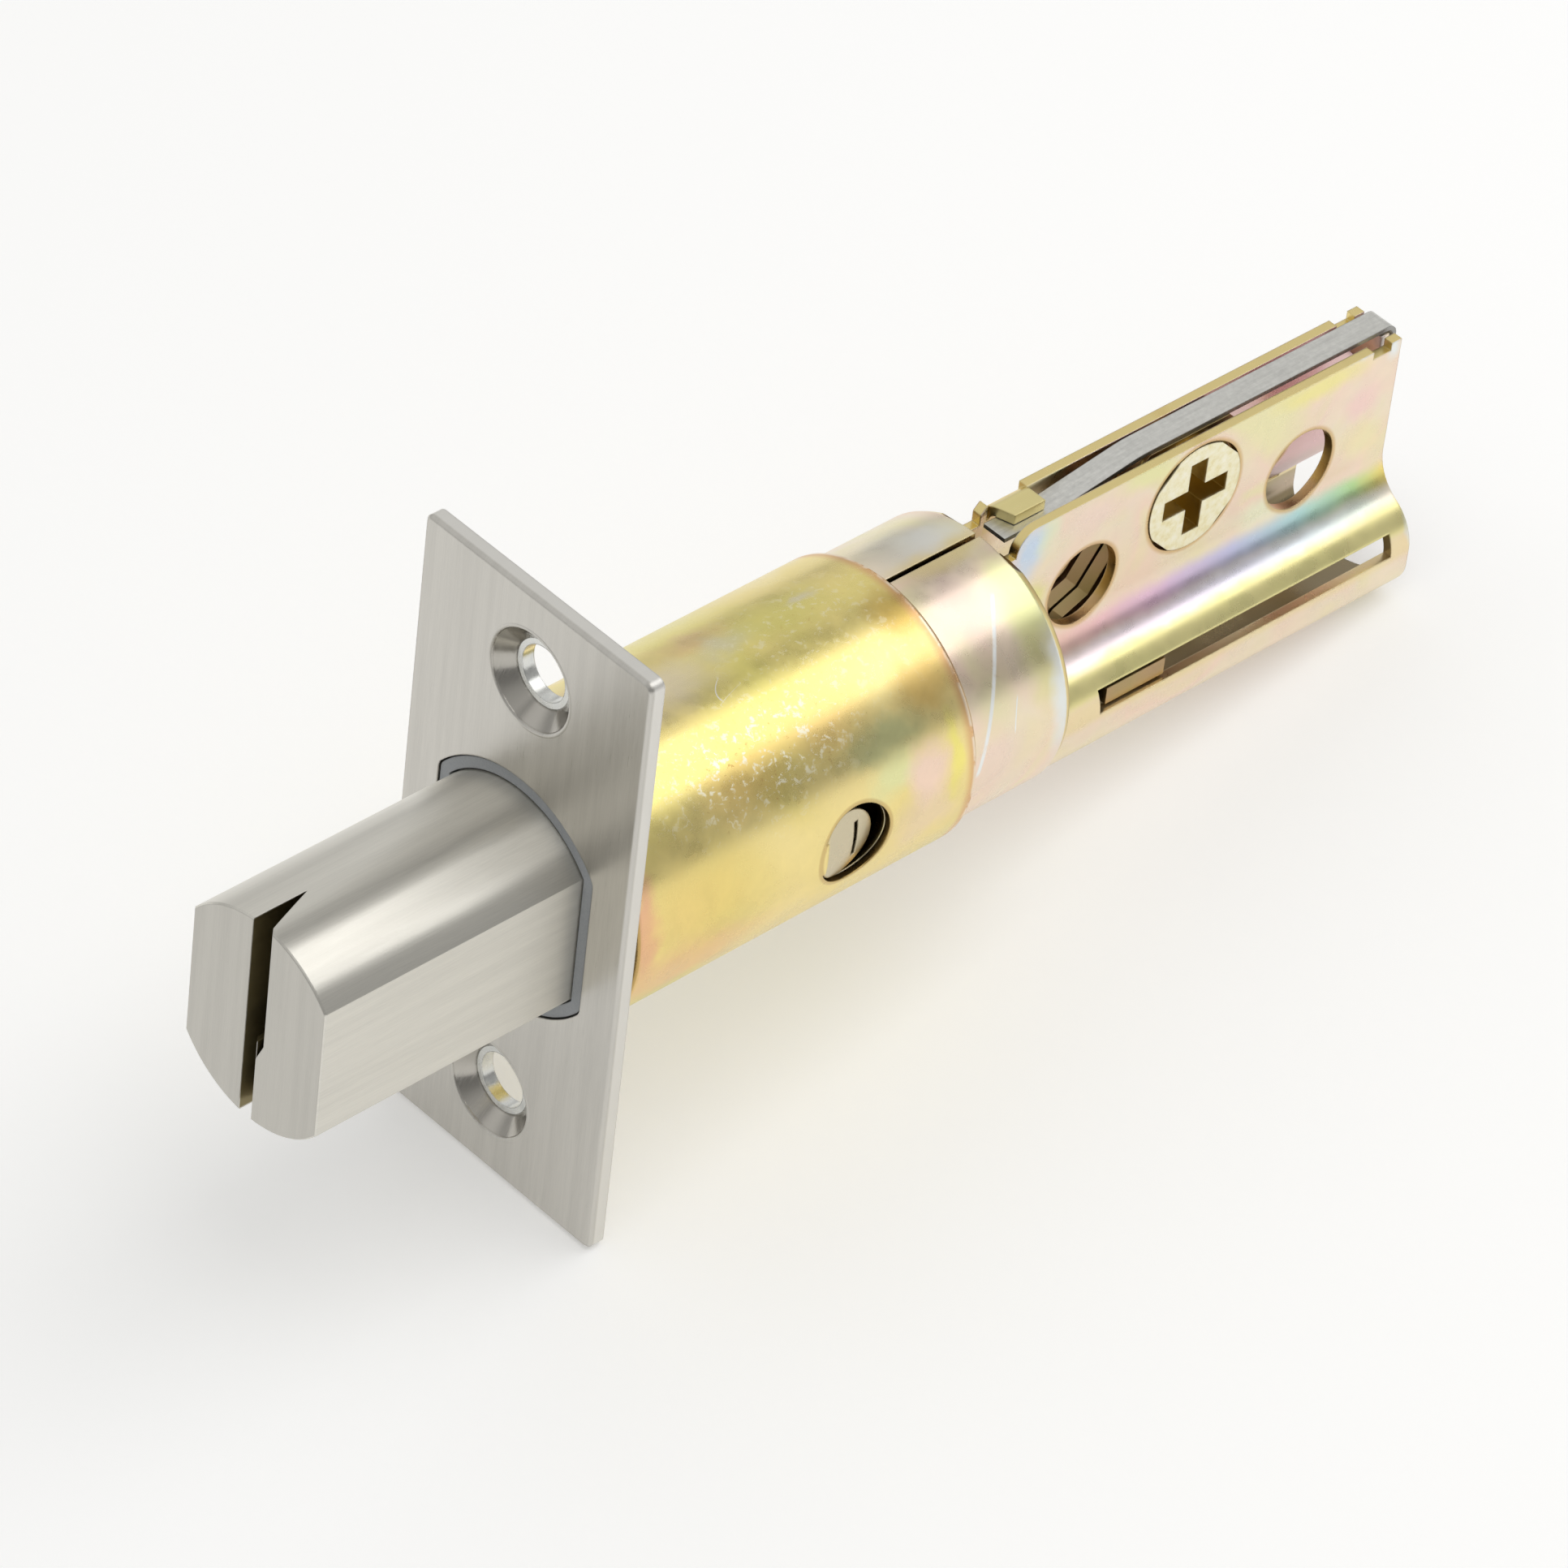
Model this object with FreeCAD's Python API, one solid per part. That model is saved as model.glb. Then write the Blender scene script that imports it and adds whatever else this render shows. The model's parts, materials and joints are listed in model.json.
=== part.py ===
import FreeCAD
import Part
import math
import os

# Tubular door latch of the deadbolt kind, shown with its bolt thrown.
# Frame: X runs along the bolt, out of the door's edge; Y runs across the plate; Z runs up it.
# The origin is on the bolt's axis at the back of the plates, where the round barrel starts.
# All sizes are in millimetres.

# Plates on the door's edge
plate_width = 25.4
plate_height = 57.15
face_thickness = 1.4
face_corner_radius = 0.8
face_edge_bevel = 0.25
backing_thickness = 1.2
backing_margin = 1.6
backing_corner_bevel = 0.7
screw_edge_distance = 7.925
screw_hole_radius = 2.4
countersink_radius = 4.45
countersink_neck_radius = 2.9

# Bolt
bolt_flat_depth = 2.15
bolt_body_behind_plates = 17.4
bolt_edge_bevel = 0.15
bolt_running_clearance = 0.15
slot_depth = 5.2
slot_left_wall_y = -1.0
slot_right_wall_y = 1.2
slot_lower_wall_y = 0.45
slot_step_high = -1.7
slot_step_low = -3.4
slot_lip_radius = 0.45
slot_step_share = 1 / 3
slot_step_overlap = 0.01
slot_root_width = 0.05
hard_pin_share = 0.196
hard_pin_length = 34.0
hard_pin_side_share = 0.53
hard_pin_height_share = 0.31
hard_pin_inset = 3.4
pin_bore_clearance = 0.03

# Plastic guide round the bolt
guide_lip = 1.0
guide_recess = 0.15
guide_length = 16.0
guide_body_wall = 1.7
guide_seat_clearance = 0.15
opening_corner_radius = 1.2
opening_gap = 0.15

# Front barrel
barrel_side_margin = 0.4
barrel_wall = 0.6
barrel_length = 35.4
barrel_roll_radius = 0.5
barrel_tab_width = 6.0
barrel_seat_depth = 0.3
barrel_seat_taper = 0.25
barrel_tab_set_in = 0.2
barrel_tab_thickness = 0.45
barrel_seat_clearance = 0.05
tongue_x = -22.3
tongue_hole_radius = 3.6
tongue_radius = 3.0
tongue_forward_shift = 0.55
tongue_dip_deg = 9.0
tongue_slit_width = 0.5
tongue_slit_length = 3.4
tongue_slit_setback = 1.1
tongue_relief = 0.6
tongue_root_width = 3.0

# Case: one sheet, rolled to a sleeve in front and folded to a channel behind
case_sheet = 0.9
sleeve_barrel_clearance = 0.05
sleeve_front_gap = 1.4
bolt_rear_gap = 2.5
sleeve_seam_width = 0.5
sleeve_roll_radius = 0.9
sleeve_roll_steps = 2
case_rear_reach = 22.7
cheek_half_width = 2.6
cheek_top_margin = 0.25
cheek_corner_radius = 2.2
cheek_far_bevel = 0.6
flare_above_corner = 1.54
flare_angle_deg = 60.0
bulb_proud = 0.15
bulb_corner_radius = 3.0
case_tail_radius = 3.0
shoulder_mouth_clearance = 0.15
relief_half_length = 1.0
relief_below_sleeve = 1.25
top_notch_front = 3.2
top_notch_rear = 1.1
top_notch_depth = 0.75

# Bridge and rear tab, both folded over from the far cheek
bridge_front_gap = 1.7
bridge_length = 4.25
bridge_reach = 3.0
bridge_slant = 0.95
bridge_bend_radius = 0.5
rear_tab_drop = 0.35
rear_tab_height = 3.4
rear_tab_reach = 3.8

# Hub, cranks and the holes for the lock's trim
backset = 70.0
hub_below_top = 5.45
hub_hole_radius = 5.1
hub_running_clearance = 0.1
hub_proud = 0.1
hub_flat_distance = 4.8
hub_cross_span = 7.1
hub_cross_width = 1.9
hub_core_radius = 4.6
hub_core_flat = 4.25
hub_core_clearance = 0.02
hub_flange_radius = 5.3
trim_hole_radius = 3.75
trim_hole_drop = 3.25
trim_hole_spacing = 24.5
trim_hole_offset = 0.25
crank_sheet = 1.15
crank_gap = 0.25
cam_top_gap = 0.07
cam_flat_half_length = 4.4
crank_tip_clearance = 0.2
crank_tip_half_width = 3.4
crank_root_half_width = 3.95
crank_waist_half_width = 2.27
crank_waist_lead = 0.3
crank_tine_lag = 2.3
fork_half_width = 2.0
fork_root_clearance = 0.046
crank_rivet_radius = 0.8
crank_swing_deg = 45.0

# Bolt tail, a hairpin of thick strip, and its pins
tail_sheet = 1.6
tail_inner_half_width = 2.0
tail_height = 3.3
tail_front_gap = 8.8
tail_pocket_clearance = 0.1
tail_pin_clearance = 0.05
tail_pin_low_inset = 0.6
tail_pin_proud = 1.8
drive_pin_radius = 0.8
pin_above_floor = 6.604
throw_share = 0.98
ear_front_gap = 1.1
ear_length = 6.5
ear_thickness = 1.6
ear_inset = 0.5
tail_side_gap = 2.5
slot_clearance = 0.25
slot_end_clearance = 0.3
slot_front_gap = 1.0

# Leaf spring over the cranks
spring_width = 2.4
spring_thickness = 0.4
spring_front_reach = 0.8
spring_bridge_clearance = 0.08
spring_cam_clearance = 0.05
spring_rise_reach = 9.8
spring_bend_radius = 0.9
spring_rear_gap = 0.45
spring_leg_drop = 5.15
spring_easy_radius = 12.0

# Cutting shapes run past the piece that they cut, and far reaches beyond the whole latch
overshoot = 1.0
far = 100.0
same_place = 1e-6
straight_within_deg = 1.0

# Worked out from the sizes above
front_x = face_thickness + backing_thickness
screw_spacing = plate_height - 2 * screw_edge_distance
barrel_radius = plate_width / 2 - barrel_side_margin
sleeve_radius = barrel_radius - barrel_wall - sleeve_barrel_clearance
sleeve_bore = sleeve_radius - case_sheet
guide_seat_radius = barrel_radius - barrel_wall - guide_seat_clearance
bolt_radius = guide_seat_radius - guide_body_wall - bolt_running_clearance
bolt_flat_half_width = bolt_radius - bolt_flat_depth
cheek_top = barrel_radius - cheek_top_margin
cheek_gap_half = cheek_half_width - case_sheet
tail_outer_half_width = tail_inner_half_width + tail_sheet
bulb_half_width = tail_outer_half_width + tail_side_gap + case_sheet
bulb_floor_radius = barrel_radius + bulb_proud
bulb_corner_y = bulb_half_width - bulb_corner_radius
bulb_corner_z = -math.sqrt((bulb_floor_radius - bulb_corner_radius) ** 2 - bulb_corner_y ** 2)
flare_turn = math.radians(flare_angle_deg)
flare_radius = (bulb_half_width - cheek_half_width) / (2 * (1 - math.cos(flare_turn)))
flare_end_height = bulb_corner_z + flare_above_corner
flare_start_height = flare_end_height + 2 * flare_radius * math.sin(flare_turn)
hub_x = front_x - backset
hub_height = cheek_top - hub_below_top
pin_height = pin_above_floor - bulb_floor_radius
pin_drop = hub_height - pin_height
bolt_throw = 2 * pin_drop / throw_share
bolt_tip_x = front_x + bolt_throw
bolt_rear_x = -bolt_body_behind_plates
pin_x = hub_x + bolt_throw / 2
hard_pin_radius = hard_pin_share * bolt_radius
hard_pin_side_offset = hard_pin_side_share * bolt_flat_half_width
hard_pin_height = hard_pin_height_share * bolt_radius
tail_pin_low = tail_pin_low_inset - bolt_radius
tail_pin_high = pin_height + tail_height / 2 + tail_pin_proud
sleeve_front_x = -guide_length - sleeve_front_gap
sleeve_end_x = bolt_rear_x - bolt_throw - bolt_rear_gap - case_sheet
shoulder_front_x = sleeve_end_x + case_sheet
cheek_front_x = sleeve_end_x - relief_half_length
bridge_front_x = sleeve_end_x - bridge_front_gap
case_rear_x = hub_x - case_rear_reach
trim_hole_height = hub_height - trim_hole_drop
cam_flat_distance = hub_below_top - cam_top_gap
fork_root_reach = pin_drop - drive_pin_radius - fork_root_clearance + fork_half_width
crank_rivet_reach = (hub_hole_radius + fork_root_reach - fork_half_width) / 2
ear_front_x = pin_x - ear_front_gap
ear_rear_x = ear_front_x - ear_length
ear_outer_half_width = bulb_half_width - ear_inset
tail_front_x = bolt_rear_x + tail_front_gap
tail_pin_x = tail_front_x - tail_inner_half_width - tail_sheet / 2
tail_pin_radius = tail_inner_half_width - tail_pin_clearance
guide_clear_radius = bolt_radius + bolt_running_clearance
guide_clear_half = bolt_flat_half_width + bolt_running_clearance
opening_radius = guide_clear_radius + guide_lip + opening_gap
opening_half = guide_clear_half + guide_lip + opening_gap
trim_centre_x = hub_x - trim_hole_offset


def point(x, y, z):
    return FreeCAD.Vector(x, y, z)


def block(x_low, x_high, y_low, y_high, z_low, z_high):
    corner = point(x_low, y_low, z_low)
    return Part.makeBox(x_high - x_low, y_high - y_low, z_high - z_low, corner)


def rod_along_x(radius, x_low, x_high, y=0.0, z=0.0):
    return Part.makeCylinder(radius, x_high - x_low, point(x_low, y, z), point(1, 0, 0))


def rod_along_y(radius, y_low, y_high, x, z):
    return Part.makeCylinder(radius, y_high - y_low, point(x, y_low, z), point(0, 1, 0))


def rod_along_z(radius, z_low, z_high, x, y):
    return Part.makeCylinder(radius, z_high - z_low, point(x, y, z_low), point(0, 0, 1))


def turned(profile):
    # Solid turned about the X axis from its outer line, given as (x, radius) pairs from rear to front.
    rear = point(profile[0][0], 0, 0)
    front = point(profile[-1][0], 0, 0)
    outer = [point(x, 0, radius) for x, radius in profile]
    face = Part.Face(Part.makePolygon([rear] + outer + [front, rear]))
    return face.revolve(point(0, 0, 0), point(1, 0, 0), 360)


def rolled_rear(x_rear, radius, roll, steps):
    # Outer line of a rear rim that rolls in by a quarter turn, in a few straight steps.
    pairs = []
    for step in range(steps + 1):
        turn = math.pi / 2 * step / steps
        pairs.append((x_rear + roll - roll * math.cos(turn), radius - roll + roll * math.sin(turn)))
    return pairs


def prism(edges, travel):
    face = Part.Face(Part.Wire(Part.__sortEdges__(edges)))
    return face.extrude(travel)


def polygon_prism(points, travel):
    face = Part.Face(Part.makePolygon(points + [points[0]]))
    return face.extrude(travel)


def line(start, end):
    return Part.LineSegment(start, end).toShape()


def arc(start, middle, end):
    return Part.Arc(start, middle, end).toShape()


def flatted_rod(radius, flat_half, x_low, x_high, corner_radius=0.0):
    # A round bar with two upright flats, the double-D form of the bolt.
    rod = rod_along_x(radius, x_low, x_high)
    bar = rod.common(block(x_low, x_high, -flat_half, flat_half, -radius, radius))
    if corner_radius == 0.0:
        return bar
    corners = [edge for edge in bar.Edges if is_flat_corner(edge, flat_half)]
    return bar.makeFillet(corner_radius, corners)


def is_flat_corner(edge, flat_half):
    middle = edge.valueAt((edge.FirstParameter + edge.LastParameter) / 2)
    return runs_along_x(edge) and abs(abs(middle.y) - flat_half) < same_place


def runs_along_x(edge):
    return abs(edge.tangentAt(edge.FirstParameter).x) > math.cos(math.radians(straight_within_deg))


def bent_strip(route, radii, thickness, width_travel, plane):
    # A strip of even thickness that follows a route of straight runs with tangent bends.
    # The route lies in the plane that the function given as plane maps from (u, v).
    corners = [FreeCAD.Vector(u, v, 0) for u, v in route]
    half = thickness / 2
    sides = []
    for sign in (1, -1):
        edges = []
        start = None
        for index, radius in enumerate(radii, start=1):
            before = (corners[index] - corners[index - 1]).normalize()
            after = (corners[index + 1] - corners[index]).normalize()
            turn = before.x * after.y - before.y * after.x
            angle = math.atan2(turn, before.dot(after))
            setback = radius * math.tan(abs(angle) / 2)
            bend_start = corners[index] - before * setback
            bend_end = corners[index] + after * setback
            side_before = FreeCAD.Vector(-before.y, before.x, 0) * half * sign
            side_after = FreeCAD.Vector(-after.y, after.x, 0) * half * sign
            inward = FreeCAD.Vector(-before.y, before.x, 0) * math.copysign(1, angle)
            centre = bend_start + inward * radius
            toward = (corners[index] - centre).normalize()
            reach = radius - half * sign * math.copysign(1, angle)
            if start is None:
                start = corners[0] + side_before
            first = bend_start + side_before
            last = bend_end + side_after
            bend_middle = centre + toward * reach
            if (first - start).Length > same_place:
                edges.append(line(plane(start), plane(first)))
            edges.append(arc(plane(first), plane(bend_middle), plane(last)))
            start = last
        end = corners[-1] + side_after
        edges.append(line(plane(start), plane(end)))
        sides.append((edges, corners[0] + side_before_first(corners, half, sign), end))
    caps = [line(plane(sides[0][1]), plane(sides[1][1])), line(plane(sides[0][2]), plane(sides[1][2]))]
    return prism(sides[0][0] + sides[1][0] + caps, width_travel)


def side_before_first(corners, half, sign):
    along = (corners[1] - corners[0]).normalize()
    return FreeCAD.Vector(-along.y, along.x, 0) * half * sign


def section_edges(x, inset, top):
    # Outline of the case across X: two straight cheeks, a flare of two arcs and a round-bottomed bulb.
    cheek = cheek_half_width - inset
    bulb = bulb_half_width - inset
    hollow = flare_radius + inset
    crown = flare_radius - inset
    corner = bulb_corner_radius - inset
    floor = bulb_floor_radius - inset
    upper_y = bulb_half_width
    lower_y = cheek_half_width
    corner_y = bulb_corner_y
    corner_z = bulb_corner_z
    corner_turn = math.atan2(corner_z, corner_y)
    edges = []
    for side in (1, -1):
        def at(y, z):
            return point(x, side * y, z)

        def on_hollow(turn):
            return at(upper_y - hollow * math.cos(turn), flare_start_height - hollow * math.sin(turn))

        def on_crown(turn):
            return at(lower_y + crown * math.cos(turn), flare_end_height + crown * math.sin(turn))

        def on_corner(turn):
            return at(corner_y + corner * math.cos(turn), corner_z + corner * math.sin(turn))

        def on_floor(turn):
            return at(floor * math.cos(turn), floor * math.sin(turn))

        edges.append(line(at(cheek, top), on_hollow(0)))
        edges.append(arc(on_hollow(0), on_hollow(flare_turn / 2), on_hollow(flare_turn)))
        edges.append(arc(on_crown(flare_turn), on_crown(flare_turn / 2), on_crown(0)))
        edges.append(line(on_crown(0), at(bulb, corner_z)))
        edges.append(arc(at(bulb, corner_z), on_corner(corner_turn / 2), on_corner(corner_turn)))
        middle_turn = (corner_turn - math.pi / 2) / 2
        edges.append(arc(on_corner(corner_turn), on_floor(middle_turn), on_floor(-math.pi / 2)))
    edges.append(line(point(x, cheek, top), point(x, -cheek, top)))
    return edges


def section_prism(x_low, x_high, inset, top):
    return prism(section_edges(x_low, inset, top), point(x_high - x_low, 0, 0))


def screw_centres():
    return [-screw_spacing / 2, screw_spacing / 2]


def make_face_plate():
    # Satin plate with a coned hole for each screw and a double-D opening for the bolt.
    half_w = plate_width / 2
    half_h = plate_height / 2
    plate = block(backing_thickness, front_x, -half_w, half_w, -half_h, half_h)
    corners = [edge for edge in plate.Edges if runs_along_x(edge)]
    plate = plate.makeFillet(face_corner_radius, corners)
    rim = [edge for edge in plate.Edges if edge.BoundBox.XMin > front_x - same_place]
    plate = plate.makeChamfer(face_edge_bevel, rim)
    plate = plate.cut(plate_opening(backing_thickness, front_x))
    for z in screw_centres():
        plate = plate.cut(screw_cone(z))
    return plate


def screw_cone(z):
    # One cone through the face plate takes the screw's head.
    return Part.makeCone(countersink_neck_radius, countersink_radius, face_thickness,
                         point(backing_thickness, 0, z), point(1, 0, 0))


def plate_opening(x_low, x_high):
    return flatted_rod(opening_radius, opening_half, x_low - overshoot, x_high + overshoot,
                       opening_corner_radius)


def make_backing_plate():
    # Plain zinc plate behind the face plate: it takes the barrel's end, its two tabs and the screws.
    half_w = plate_width / 2 - backing_margin
    half_h = plate_height / 2 - backing_margin
    plate = block(0, backing_thickness, -half_w, half_w, -half_h, half_h)
    corners = [edge for edge in plate.Edges if runs_along_x(edge)]
    plate = plate.makeChamfer(backing_corner_bevel, corners)
    plate = plate.cut(plate_opening(0, backing_thickness))
    for z in screw_centres():
        plate = plate.cut(rod_along_x(screw_hole_radius, -overshoot, backing_thickness + overshoot, 0, z))
    plate = plate.cut(rod_along_x(barrel_radius + barrel_seat_clearance, -overshoot, barrel_seat_depth))
    return plate.cut(barrel_tabs(barrel_seat_clearance))


def barrel_tabs(growth):
    # Two flattened tabs, staked into the backing plate above and below the bolt.
    half = barrel_tab_width / 2 + growth
    low = barrel_radius - barrel_wall - barrel_tab_set_in - growth
    high = low + barrel_tab_thickness + 2 * growth
    upper = block(0, backing_thickness, -half, half, low, high)
    lower = block(0, backing_thickness, -half, half, -high, -low)
    return upper.fuse(lower)


def make_bolt_guide():
    # Moulded grey collar: its lip shows round the bolt and its body lines the barrel behind the plates.
    lip = flatted_rod(guide_clear_radius + guide_lip, guide_clear_half + guide_lip,
                      0, front_x - guide_recess, opening_corner_radius)
    guide = lip.fuse(rod_along_x(guide_seat_radius, -guide_length, 0))
    bore = flatted_rod(guide_clear_radius, guide_clear_half, -guide_length - overshoot, front_x + overshoot)
    return guide.cut(bore)


def make_front_barrel():
    # Drawn tube with a turned-in rear rim and a lanced tongue in its side that grips the sleeve.
    rear = rolled_rear(-barrel_length, barrel_radius, barrel_roll_radius, 1)
    seat = [(0, barrel_radius), (barrel_seat_depth, barrel_radius - barrel_seat_taper)]
    tube = turned(rear + seat)
    tube = tube.cut(barrel_bore())
    tube = tube.fuse(barrel_tabs(0.0))
    tube = tube.cut(rod_along_y(tongue_hole_radius, 0, far, tongue_x, 0))
    return tube.fuse(make_tongue())


def barrel_bore():
    return rod_along_x(barrel_radius - barrel_wall, -barrel_length - overshoot, overshoot)


def make_tongue():
    # Round tongue of the barrel's own sheet, hinged at its front edge and pressed inward behind.
    shell = rod_along_x(barrel_radius, -barrel_length, 0).cut(barrel_bore())
    centre_x = tongue_x + tongue_forward_shift
    disc = shell.common(rod_along_y(tongue_radius, 0, far, centre_x, 0))
    slit_x = centre_x - tongue_slit_setback
    slit = block(slit_x - tongue_slit_width / 2, slit_x + tongue_slit_width / 2,
                 0, far, -tongue_slit_length / 2, tongue_slit_length / 2)
    disc = disc.cut(slit)
    hinge = point(centre_x + tongue_radius, barrel_radius, 0)
    disc.rotate(hinge, point(0, 0, 1), tongue_dip_deg)
    root_x = centre_x + tongue_radius - tongue_relief
    root = block(root_x, tongue_x + tongue_hole_radius + barrel_wall, 0, far,
                 -tongue_root_width / 2, tongue_root_width / 2)
    return disc.fuse(shell.common(root))


def make_latch_case():
    # One folded sheet: rolled sleeve, shoulder, two cheeks and the bulb that the bolt's tail runs in.
    side_view = case_side_outline()
    channel = section_prism(case_rear_x, shoulder_front_x, 0.0, cheek_top).common(side_view)
    rear = rolled_rear(sleeve_end_x, sleeve_radius, sleeve_roll_radius, sleeve_roll_steps)
    case = channel.fuse(turned(rear + [(sleeve_front_x, sleeve_radius)]))
    hollow = section_prism(case_rear_x - overshoot, sleeve_end_x, case_sheet, cheek_top + overshoot)
    case = case.cut(hollow)
    case = case.cut(rod_along_x(sleeve_bore, shoulder_front_x, sleeve_front_x + overshoot))
    mouth = section_prism(sleeve_end_x - overshoot, shoulder_front_x + overshoot, case_sheet,
                          cheek_top + overshoot)
    case = case.cut(mouth.common(rod_along_x(sleeve_bore - shoulder_mouth_clearance, -far, 0)))
    case = case.cut(shoulder_openings())
    case = case.cut(near_cheek_corner())
    case = case.cut(case_holes())
    case = case.cut(bridge_room())
    case = case.fuse(make_bridge())
    return case.fuse(make_rear_tab())


def case_side_outline():
    # Side view of the channel: a bevel at the cheeks' front top and a round corner at the tail's low end.
    low = -bulb_floor_radius - overshoot
    front = shoulder_front_x
    bevel_x = cheek_front_x - cheek_far_bevel
    bevel_z = cheek_top - cheek_far_bevel
    r_tail = case_tail_radius
    tail_x = case_rear_x + r_tail
    tail_z = -bulb_floor_radius + r_tail
    slope = math.cos(math.pi / 4)
    foot_z = sleeve_radius - relief_below_sleeve
    edges = [
        line(point(case_rear_x, -far, cheek_top), point(bevel_x, -far, cheek_top)),
        line(point(bevel_x, -far, cheek_top), point(cheek_front_x, -far, bevel_z)),
        line(point(cheek_front_x, -far, bevel_z), point(cheek_front_x, -far, foot_z)),
        line(point(cheek_front_x, -far, foot_z), point(front, -far, foot_z)),
        line(point(front, -far, foot_z), point(front, -far, low)),
        line(point(front, -far, low), point(tail_x, -far, low)),
        line(point(tail_x, -far, low), point(tail_x, -far, -bulb_floor_radius)),
        arc(point(tail_x, -far, -bulb_floor_radius),
            point(tail_x - r_tail * slope, -far, tail_z - r_tail * slope),
            point(case_rear_x, -far, tail_z)),
        line(point(case_rear_x, -far, tail_z), point(case_rear_x, -far, cheek_top)),
    ]
    return prism(edges, point(0, 2 * far, 0))


def shoulder_openings():
    # The seam along the sleeve's top, the round-bottomed relief behind it and the tongue's window.
    half = sleeve_seam_width / 2
    tools = [block(sleeve_end_x - overshoot, sleeve_front_x + overshoot, -half, half, 0, far)]
    relief_z = sleeve_radius - relief_below_sleeve + relief_half_length
    tools.append(rod_along_y(relief_half_length, -far, far, sleeve_end_x, relief_z))
    tools.append(block(sleeve_end_x - relief_half_length, sleeve_end_x + relief_half_length,
                       -far, far, relief_z, far))
    tools.append(rod_along_y(tongue_hole_radius, 0, far, tongue_x, 0))
    return tools[0].fuse(tools[1:])


def near_cheek_corner():
    # What the near cheek's large round corner leaves out.
    radius = cheek_corner_radius
    centre_x = cheek_front_x - radius
    centre_z = cheek_top - radius
    corner = block(centre_x, cheek_front_x + overshoot, 0, far, centre_z, far)
    return corner.cut(rod_along_y(radius, -overshoot, far + overshoot, centre_x, centre_z))


def trim_hole_centres():
    return [trim_centre_x - trim_hole_spacing / 2, trim_centre_x + trim_hole_spacing / 2]


def case_holes():
    # Holes through both cheeks, the ears' slots in both walls of the bulb and the notches at the rear.
    tools = [rod_along_y(hub_hole_radius, -far, far, hub_x, hub_height)]
    for x in trim_hole_centres():
        tools.append(rod_along_y(trim_hole_radius, -far, far, x, trim_hole_height))
    half = ear_thickness / 2 + slot_clearance
    slot_front = ear_front_x + slot_front_gap
    slot_rear = ear_rear_x - bolt_throw - slot_end_clearance
    tools.append(block(slot_rear, slot_front, -far, far, pin_height - half, pin_height + half))
    tools.append(block(case_rear_x + top_notch_rear, case_rear_x + top_notch_front,
                       -far, far, cheek_top - top_notch_depth, far))
    return tools[0].fuse(tools[1:])


def bridge_room():
    # The far cheek ends below the bridge's bend.
    bend = bridge_bend_radius + case_sheet
    return block(bridge_front_x - bridge_length, bridge_front_x, -far, 0, cheek_top - bend, far)


def make_bridge():
    # Short strap bent over from the far cheek; the spring's front end lies under it.
    middle = case_sheet / 2
    cheek_y = middle - cheek_half_width
    foot_z = cheek_top - bridge_bend_radius - 2 * case_sheet
    route = [
        (cheek_y, foot_z),
        (cheek_y, cheek_top - middle),
        (bridge_reach - cheek_half_width, cheek_top - middle),
    ]

    def across(flat):
        return point(bridge_front_x - bridge_length, flat.x, flat.y)

    strap = bent_strip(route, [bridge_bend_radius + middle], case_sheet, point(bridge_length, 0, 0), across)
    slant = polygon_prism([
        point(bridge_front_x, -cheek_half_width, foot_z - overshoot),
        point(bridge_front_x - bridge_slant, bridge_reach - cheek_half_width, foot_z - overshoot),
        point(bridge_front_x + overshoot, bridge_reach - cheek_half_width, foot_z - overshoot),
    ], point(0, 0, far))
    return strap.cut(slant)


def make_rear_tab():
    # Tab folded from the far cheek across the rear, under the spring's fold.
    y_far = -cheek_half_width
    top = cheek_top - rear_tab_drop
    return block(case_rear_x, case_rear_x + case_sheet, y_far, y_far + rear_tab_reach,
                 top - rear_tab_height, top)


def make_leaf_spring():
    # Flat strip: under the bridge, up over the cranks' flats and down behind the case.
    half = spring_thickness / 2
    low_z = cheek_top - case_sheet - spring_bridge_clearance - half
    high_z = hub_height + cam_flat_distance + spring_cam_clearance + half
    bridge_rear_x = bridge_front_x - bridge_length
    leg_x = case_rear_x - spring_rear_gap - half
    route = [
        (bridge_front_x + spring_front_reach, low_z),
        (bridge_rear_x, low_z),
        (bridge_rear_x - spring_rise_reach, high_z),
        (leg_x, high_z),
        (leg_x, cheek_top - spring_leg_drop),
    ]
    radii = [spring_easy_radius, spring_easy_radius, spring_bend_radius]

    def upright(flat):
        return point(flat.x, -spring_width / 2, flat.y)

    return bent_strip(route, radii, spring_thickness, point(0, spring_width, 0), upright)


def make_dead_bolt():
    # Double-D bolt with a stepped, wedge-shaped slot in its end and a pocket for the tail behind.
    bolt = flatted_rod(bolt_radius, bolt_flat_half_width, bolt_rear_x, bolt_tip_x)
    ends = [edge for edge in bolt.Edges if edge.BoundBox.XMin > bolt_tip_x - same_place]
    bolt = bolt.makeChamfer(bolt_edge_bevel, ends)
    bolt = bolt.cut(end_slot())
    half_y = tail_outer_half_width + tail_pocket_clearance
    half_z = tail_height / 2 + tail_pocket_clearance
    pocket_front = tail_front_x + tail_sheet / 2 + tail_pocket_clearance
    bore_rear = bolt_rear_x - overshoot
    bolt = bolt.cut(block(bore_rear, pocket_front, -half_y, half_y, pin_height - half_z, pin_height + half_z))
    bolt = bolt.cut(rod_along_z(tail_pin_radius + pin_bore_clearance, -bolt_radius - overshoot,
                                tail_pin_high, tail_pin_x, 0))
    bore_front = bolt_rear_x + hard_pin_inset + hard_pin_length
    for side in (1, -1):
        bolt = bolt.cut(rod_along_x(hard_pin_radius + pin_bore_clearance, bore_rear, bore_front,
                                    side * hard_pin_side_offset, hard_pin_height))
    return bolt


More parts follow.
